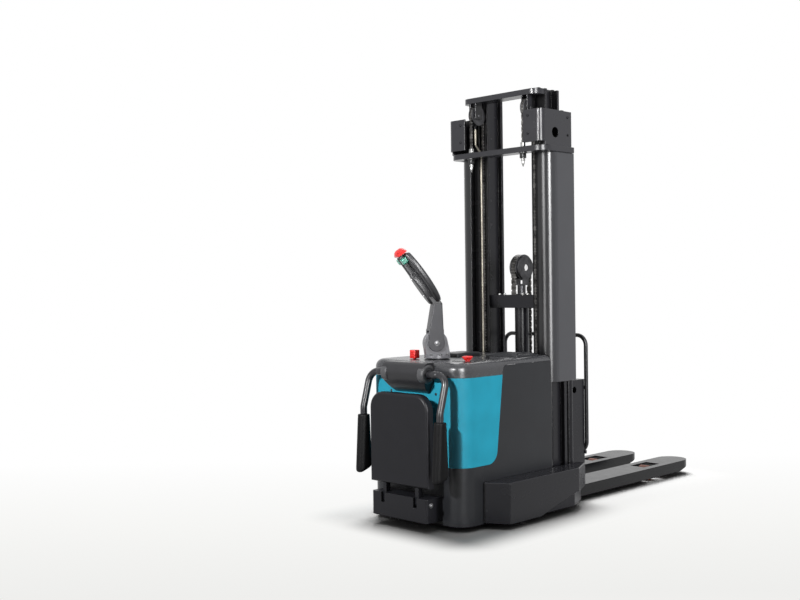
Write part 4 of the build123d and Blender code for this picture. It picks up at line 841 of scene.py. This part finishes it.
def drawn(form, ring, vector):
    """Draw a ring of edges out along a vector and give back the new ring."""
    made = bmesh.ops.extrude_edge_only(form, edges=ring)["geom"]
    verts = {item for item in made if isinstance(item, bmesh.types.BMVert)}
    bmesh.ops.translate(form, vec=vector, verts=list(verts))
    edges = [item for item in made if isinstance(item, bmesh.types.BMEdge)]
    return [edge for edge in edges if edge.verts[0] in verts and edge.verts[1] in verts]


def turned(form, ring, centre, way, angle):
    """Spin a ring of edges round a bend and give back the new ring."""
    bent = bmesh.ops.spin(form, geom=ring, cent=centre, axis=(0.0, way, 0.0), angle=angle, steps=10)
    return [item for item in bent["geom_last"] if isinstance(item, bmesh.types.BMEdge)]


steel_pipe = bmesh.new()
bmesh.ops.create_circle(steel_pipe, cap_ends=False, segments=20, radius=pipe_radius,
                        matrix=Matrix.Translation(pipe))
aslant = Vector((-sin(step_angle), 0.0, cos(step_angle)))
square_to_it = Vector((cos(step_angle), 0.0, sin(step_angle)))
ring = drawn(steel_pipe, steel_pipe.edges[:], (0.0, 0.0, bend_start - pipe.z))
centre = Vector((pipe.x - pipe_bend, pipe.y, bend_start))
ring = turned(steel_pipe, ring, centre, -1.0, step_angle)
ring = drawn(steel_pipe, ring, aslant * step_run)
centre += square_to_it * pipe_bend * 2.0 + aslant * step_run
ring = turned(steel_pipe, ring, centre, 1.0, step_angle)
drawn(steel_pipe, ring, (0.0, 0.0, pipe_end - centre.z))
pipe_piece = piece(steel_pipe, "oil_pipe", "chassis", "pipe_zinc")
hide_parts("hydraulic_line")
print("pipe top at x", round(centre.x - pipe_bend, 4), "z", round(centre.z, 4))

# %% Fitting and elbow
fitting_place = Matrix.Translation((fitting_x, pipe.y, 0.0))
fitting_profile = [(0.0, pipe_end - 0.012), (0.0075, pipe_end - 0.012), (0.0085, pipe_end - 0.006),
                   (0.0085, pipe_end), (0.0094, pipe_end + 0.003), (0.0094, fitting_end - 0.003),
                   (0.0, fitting_end)]
fitting = lathe(fitting_profile)
put(fitting, hexagon(fitting_across, pipe_end + 0.004, pipe_end + 0.020))
put(fitting, hexagon(fitting_across, fitting_end - 0.026, fitting_end - 0.012))
fitting_piece = piece(placed(fitting, fitting_place), "oil_fitting", "chassis", "pipe_zinc")
elbow = bmesh.new()
bmesh.ops.create_circle(elbow, cap_ends=False, segments=20, radius=elbow_radius,
                        matrix=fitting_place @ Matrix.Translation((0.0, 0.0, fitting_end)))
ring = drawn(elbow, elbow.edges[:], (0.0, 0.0, elbow_start - fitting_end))
ring = turned(elbow, ring, (fitting_x - elbow_bend, pipe.y, elbow_start), -1.0, pi / 2.0)
drawn(elbow, ring, (line_low.x - (fitting_x - elbow_bend), 0.0, 0.0))
elbow_piece = piece(elbow, "oil_elbow", "chassis", "seal_rubber")
print("elbow top", round(elbow_start + elbow_bend + elbow_radius, 3), "of", round(line_high.z, 3))

# %% [markdown]
# ## Sheave pins
# Every sheave turns on a pin whose end shows as a small disc, polished at the lift sheave. Each pin gets
# a turned cap with a chamfer and a grease hole.

# %% Sheave pins
lift_pin_radius = 0.0165
yoke_face = 0.031
mast_pin_radius = 0.0098
hanger_face = 0.020


def pin_cap(radius):
    """The visible end of a pin, with a chamfered rim and a small centre hole."""
    return lathe([(0.0, 0.0006), (radius * 0.16, 0.0006), (radius * 0.20, 0.0016),
                  (radius * 0.84, 0.0018), (radius, 0.0), (radius, -0.0010)], 28)


lift_caps = bmesh.new()
mast_caps = bmesh.new()
for face in (-1, 1):
    place = lift_sheave + Vector((face * yoke_face, 0.0, 0.0))
    put(lift_caps, pin_cap(lift_pin_radius), facing(place, (face, 0, 0)))
    for sheave in mast_sheaves:
        place = sheave + Vector((face * hanger_face, 0.0, 0.0))
        put(mast_caps, pin_cap(mast_pin_radius), facing(place, (face, 0, 0)))
piece(lift_caps, "lift_pin_caps", "lift_rod", "polished")
piece(mast_caps, "mast_pin_caps", "middle_mast", "sheave_iron")
print("pin caps: 6")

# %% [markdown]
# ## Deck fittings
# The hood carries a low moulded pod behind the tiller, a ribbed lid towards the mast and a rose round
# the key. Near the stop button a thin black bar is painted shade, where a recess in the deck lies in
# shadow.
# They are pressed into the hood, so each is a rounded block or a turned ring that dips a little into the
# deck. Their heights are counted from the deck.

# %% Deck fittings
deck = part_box("hood")[1].z
on_deck = Matrix.Translation((0.0, 0.0, deck))
sunk = 0.002
rib_count = 7
rib_pitch = 0.022
rib_half = 0.004
first_rib_y = -0.498
key_place = (0.250, -0.730, deck)
rose_profile = [(0.0115, 0.0), (0.0115, 0.0015), (0.0150, 0.0025), (0.0175, 0.0015), (0.0180, -sunk)]
pod = bar((-0.120, -0.680, -0.010), (0.010, -0.500, 0.020), 0.012, 4)
piece(placed(pod, on_deck), "deck_pod", "chassis", "panel_grey")
lid = bar((0.050, -0.520, -0.006), (0.262, -0.345, 0.010), 0.008, 3)
for number in range(rib_count):
    y = first_rib_y + number * rib_pitch
    put(lid, bar((0.066, y - rib_half, 0.004), (0.246, y + rib_half, 0.0145), 0.003, 2))
piece(placed(lid, on_deck), "deck_lid", "chassis", "panel_grey")
# Painted shade: a black bar where a recess in the deck lies in shadow.
recess_shadow = bar((0.158, -0.886, -0.004), (0.222, -0.868, 0.0025), 0.002, 2)
piece(placed(recess_shadow, on_deck), "deck_slot", "chassis", "gloss_black")
rose = placed(lathe(rose_profile), Matrix.Translation(key_place))
piece(rose, "key_rose", "chassis", "gloss_black")
print("deck at", round(deck, 3))

# %% [markdown]
# The stop button is a red mushroom on a dark collar. The battery switch is a red block that is pulled
# up in an emergency, with a dished top and grooves for the fingers. Both replace their plain solids
# and ride on the same bodies, so they still press and pull.

# %% Stop button
stop_low, stop_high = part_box("emergency_stop")
stop_middle = (stop_low + stop_high) / 2.0
stop_top = Matrix.Translation((stop_middle.x, stop_middle.y, stop_high.z))
mushroom_profile = [(0.0105, stop_low.z - stop_high.z), (0.0105, -0.0205), (0.0165, -0.0200),
                    (0.0185, -0.0150), (0.0232, -0.0090), (0.0258, -0.0062), (0.0258, -0.0040),
                    (0.0230, -0.0014), (0.0120, -0.0002), (0.0, 0.0)]
mushroom = placed(lathe(mushroom_profile, 40), stop_top)
stop_piece = piece(mushroom, "stop_mushroom", "emergency_stop", "button_red")
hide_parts("emergency_stop")
ring_profile = [(0.0195, 0.0), (0.0195, 0.0022), (0.0215, 0.0030), (0.0255, 0.0022), (0.0280, 0.0),
                (0.0280, -sunk)]
stop_ring = placed(lathe(ring_profile, 40), Matrix.Translation((stop_middle.x, stop_middle.y, deck)))
piece(stop_ring, "stop_collar", "chassis", "gloss_black")
print("stop button up to", round(stop_high.z, 3))

# %% Battery switch
switch_low, switch_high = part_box("battery_switch")
switch_middle = (switch_low + switch_high) / 2.0
switch_foot = 0.793
stem_radius = 0.008
groove_count = 3
groove_pitch = 0.009
first_groove = 0.012
grip = bar((switch_low.x, switch_low.y, switch_foot), switch_high, 0.0035, 3)
crown = max(grip.faces, key=lambda face: face.calc_center_median().z)
bmesh.ops.inset_region(grip, faces=[crown], thickness=0.004, depth=-0.0015)
stem = lathe([(stem_radius, switch_low.z), (stem_radius, switch_foot + 0.002)], 20)
put(grip, stem, Matrix.Translation((switch_middle.x, switch_middle.y, 0.0)))
for number in range(groove_count):
    z = switch_foot + first_groove + number * groove_pitch
    groove = bar((switch_low.x + 0.004, switch_low.y - 0.0008, z - 0.0015),
                 (switch_high.x - 0.004, switch_high.y + 0.0008, z + 0.0015), 0.0007, 2)
    put(grip, groove)
switch_piece = piece(grip, "battery_grip", "battery_switch", "button_red")
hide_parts("battery_switch")
print("battery switch up to", round(switch_high.z, 3))

# %% [markdown]
# ## Tiller hardware
# The tiller stands turned by thirty degrees, so its details are made in its own frame: across, along
# and through the head. A dark window and four keys lie on the thumb side of the spine, two small screws
# close the shell underneath, and bolts show at the pivot and round the foot.

# %% Tiller hardware
steer_place = Vector((0.0, -0.818, 0.0))
steer_turn = Matrix.Translation(steer_place) @ Matrix.Rotation(radians(-30.0), 4, "Z")
head_lean = radians(54.0)
head_foot = Matrix.Translation((0.0, -0.001, 1.062))
head_frame = steer_turn @ head_foot @ Matrix.Rotation(pi - head_lean, 4, "X")
head_half = 0.029
pivot = steer_turn @ Matrix.Translation((0.0, -0.010, 0.870))
pivot_half = 0.030
pivot_bolt = 0.016
key_radius, key_height = 0.0065, 0.0035
shell_screw = 0.0045
foot_ring = 0.054
foot_top = 0.810
foot_bolt_profile = [(0.0, 0.004), (0.0025, 0.004), (0.0028, 0.0078), (0.0055, 0.008), (0.006, 0.0072),
                     (0.006, 0.0)]
window = bar((-0.024, 0.118, -head_half - 0.003), (0.024, 0.176, -head_half + 0.004), 0.0025, 3)
piece(placed(window, head_frame), "tiller_display", "tiller", "gloss_black")
keys = bmesh.new()
for across in (-0.014, 0.014):
    for along in (0.078, 0.098):
        spot = head_frame @ facing((across, along, -head_half), (0, 0, -1))
        put(keys, dome(key_radius, key_height), spot)
piece(keys, "tiller_keys", "tiller", "button_grey")
shell_screws = bmesh.new()
for along in (0.070, 0.170):
    put(shell_screws, pin_cap(shell_screw), head_frame @ facing((0.0, along, head_half), (0, 0, 1)))
piece(shell_screws, "tiller_shell_screws", "tiller", "bright_steel")
pivot_bolts = bmesh.new()
for side in (-1, 1):
    put(pivot_bolts, bolt(pivot_bolt), pivot @ facing((side * pivot_half, 0.0, 0.0), (side, 0, 0)))
piece(pivot_bolts, "tiller_pivot_bolts", "steering", "bolt_steel")
foot_bolts = bmesh.new()
for angle in map(radians, (-50, 0, 50, 130, 180, 230)):
    spot = (foot_ring * cos(angle), foot_ring * sin(angle), foot_top)
    put(foot_bolts, lathe(foot_bolt_profile, 18), steer_turn @ Matrix.Translation(spot))
piece(foot_bolts, "tiller_foot_bolts", "steering", "trim_black")
print("tiller pivot at", [round(v, 3) for v in pivot.translation])

# %% [markdown]
# ## Screws and pins
# Two dark screws hold the teal cover's front, bolt heads close the platform's hinge pin, and zinc-plated
# bolts stand on the lift cylinder's crossbar.

# %% Screws and pins
cover_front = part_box("drive_cover")[0].y
cover_screw_z = 0.640
cover_screw_radius, cover_screw_height = 0.0065, 0.0030
hinge_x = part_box("platform_bracket")[1].x
hinge_y = -1.071
hinge_z = 0.130
hinge_bolt = 0.016
tie_low, tie_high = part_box("cylinder_crossbar")
tie_bolt = 0.013
screws = bmesh.new()
for x in (-0.150, 0.150):
    spot = facing((x, cover_front, cover_screw_z), (0, -1, 0))
    put(screws, dome(cover_screw_radius, cover_screw_height), spot)
piece(screws, "cover_screws", "chassis", "gloss_black")
hinge_heads = bmesh.new()
for side in (-1, 1):
    put(hinge_heads, bolt(hinge_bolt), facing((side * hinge_x, hinge_y, hinge_z), (side, 0, 0)))
piece(hinge_heads, "hinge_heads", "chassis", "bolt_steel")
tie_bolts = bmesh.new()
for x in (-0.095, -0.062, 0.062, 0.095):
    put(tie_bolts, bolt(tie_bolt), Matrix.Translation((x, tie_low.y + 0.005, tie_high.z)))
piece(tie_bolts, "tie_bolts", "inner_mast", "zinc")
print("screws and pins ready")

# %% [markdown]
# The skirt stands a finger's width off the apron, and the slit between them lies in shade as a black
# line.
# A thin dark strip at the inner end of each nose is a painted shadow for that line. Where the skirt's
# lower edge rises to the rear, a flat liner behind it closes the view underneath: one plate along the
# flank and one along the tail, each a block that is turned to lie against the wall. The liners are a
# little darker than the skirt, as painted shade behind its edge. A second dark strip runs between the
# liner and the rising edge, a painted shadow under that edge.

# %% Skirt shadow strips and liners
slit_near, slit_far = 0.3103, 0.3155
slit_front, slit_back = -0.8400, -0.8380
slit_foot, slit_top = 0.030, 0.2225
liner_foot, liner_top = 0.031, 0.130
liner_half = 0.002
shadow_strips = bmesh.new()
liners = bmesh.new()
for side in (-1, 1):
    edges = sorted((side * slit_near, side * slit_far))
    put(shadow_strips, bar((edges[0], slit_front, slit_foot), (edges[1], slit_back, slit_top), 0.0004, 1))
    rise_foot = Vector((side * 0.405, -0.530, 0.0285))
    rise = Vector((side * 0.405, -0.262, 0.1000)) - rise_foot
    strip = bar((-0.002, 0.0, -0.006), (0.002, rise.length, 0.004), 0.0004, 1)
    put(shadow_strips, strip, facing(rise_foot, rise, (0, 1, 0)))
    flank_start = Vector((side * 0.397, -0.525, 0.0))
    flank_end = Vector((side * 0.397, -0.244, 0.0))
    tail_end = Vector((side * 0.332, -0.100, 0.0))
    for start, stop in ((flank_start, flank_end), (flank_end, tail_end)):
        run = stop - start
        plate = bar((-liner_half, 0.0, liner_foot), (liner_half, run.length, liner_top), 0.001, 1)
        put(liners, plate, facing(start, run, (0, 1, 0)))
# Painted shadow: black strips in the slits and under the rising edges.
piece(shadow_strips, "skirt_slits", "chassis", "seal_rubber")
# Painted shade: the liners take a paint a little darker than the skirt's.
piece(liners, "skirt_liners", "chassis", "platform_alloy")
print("dark strips: 4, liner plates: 4")

# %% [markdown]
# ## Platform mat
# The standing side of the platform, now folded against the body, has a rubber mat with round pips for
# grip. One pip is a low dome of few faces, repeated in staggered rows.

# %% Platform mat
mat_low, mat_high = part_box("platform_mat")
pip_gap = 0.026
pip_radius, pip_height = 0.0065, 0.0014
row_margin = 0.06
column_margin = 0.05
first_row = 0.025
pips = bmesh.new()
pip = dome(pip_radius, pip_height, 10)
rows = int((mat_high.z - mat_low.z - row_margin) / pip_gap)
columns = int((mat_high.x - mat_low.x - column_margin) / pip_gap)
for row in range(rows + 1):
    z = mat_low.z + first_row + row * pip_gap
    for column in range(columns + row % 2):
        x = (column - (columns - 1 + row % 2) / 2.0) * pip_gap
        put(pips, pip, facing((x, mat_high.y, z), (0, 1, 0)))
mat_pips = piece(pips, "mat_pips", "platform", "mat_rubber")
print("pips:", rows + 1, "rows")

# %% [markdown]
# ## Wheel hubs
# Load wheels and castors are cast polyurethane on steel hubs. A thin turned ring on each face shows
# the hub and its bearing.

# %% Wheel hubs
hub_radii = {"load_wheel": 0.028, "castor_wheel": 0.022}
hub_shares = ((0.36, -0.0005), (0.36, 0.0006), (0.62, 0.0006), (0.66, 0.0002), (0.88, 0.0002),
              (0.92, 0.0007), (1.0, 0.0007), (1.0, -0.0005))
for kind, radius in hub_radii.items():
    hub = lathe([(radius * share, height) for share, height in hub_shares], 32)
    for word in ("left", "right"):
        low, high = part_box(f"{kind}_{word}")
        middle = (low + high) / 2.0
        hubs = bmesh.new()
        for x, way in ((low.x, -1), (high.x, 1)):
            put(hubs, hub, facing((x, middle.y, middle.z), (way, 0, 0)))
        piece(hubs, f"{kind}_hub_{word}", f"{kind}_{word}", "bright_steel")
print("hubs: 8")
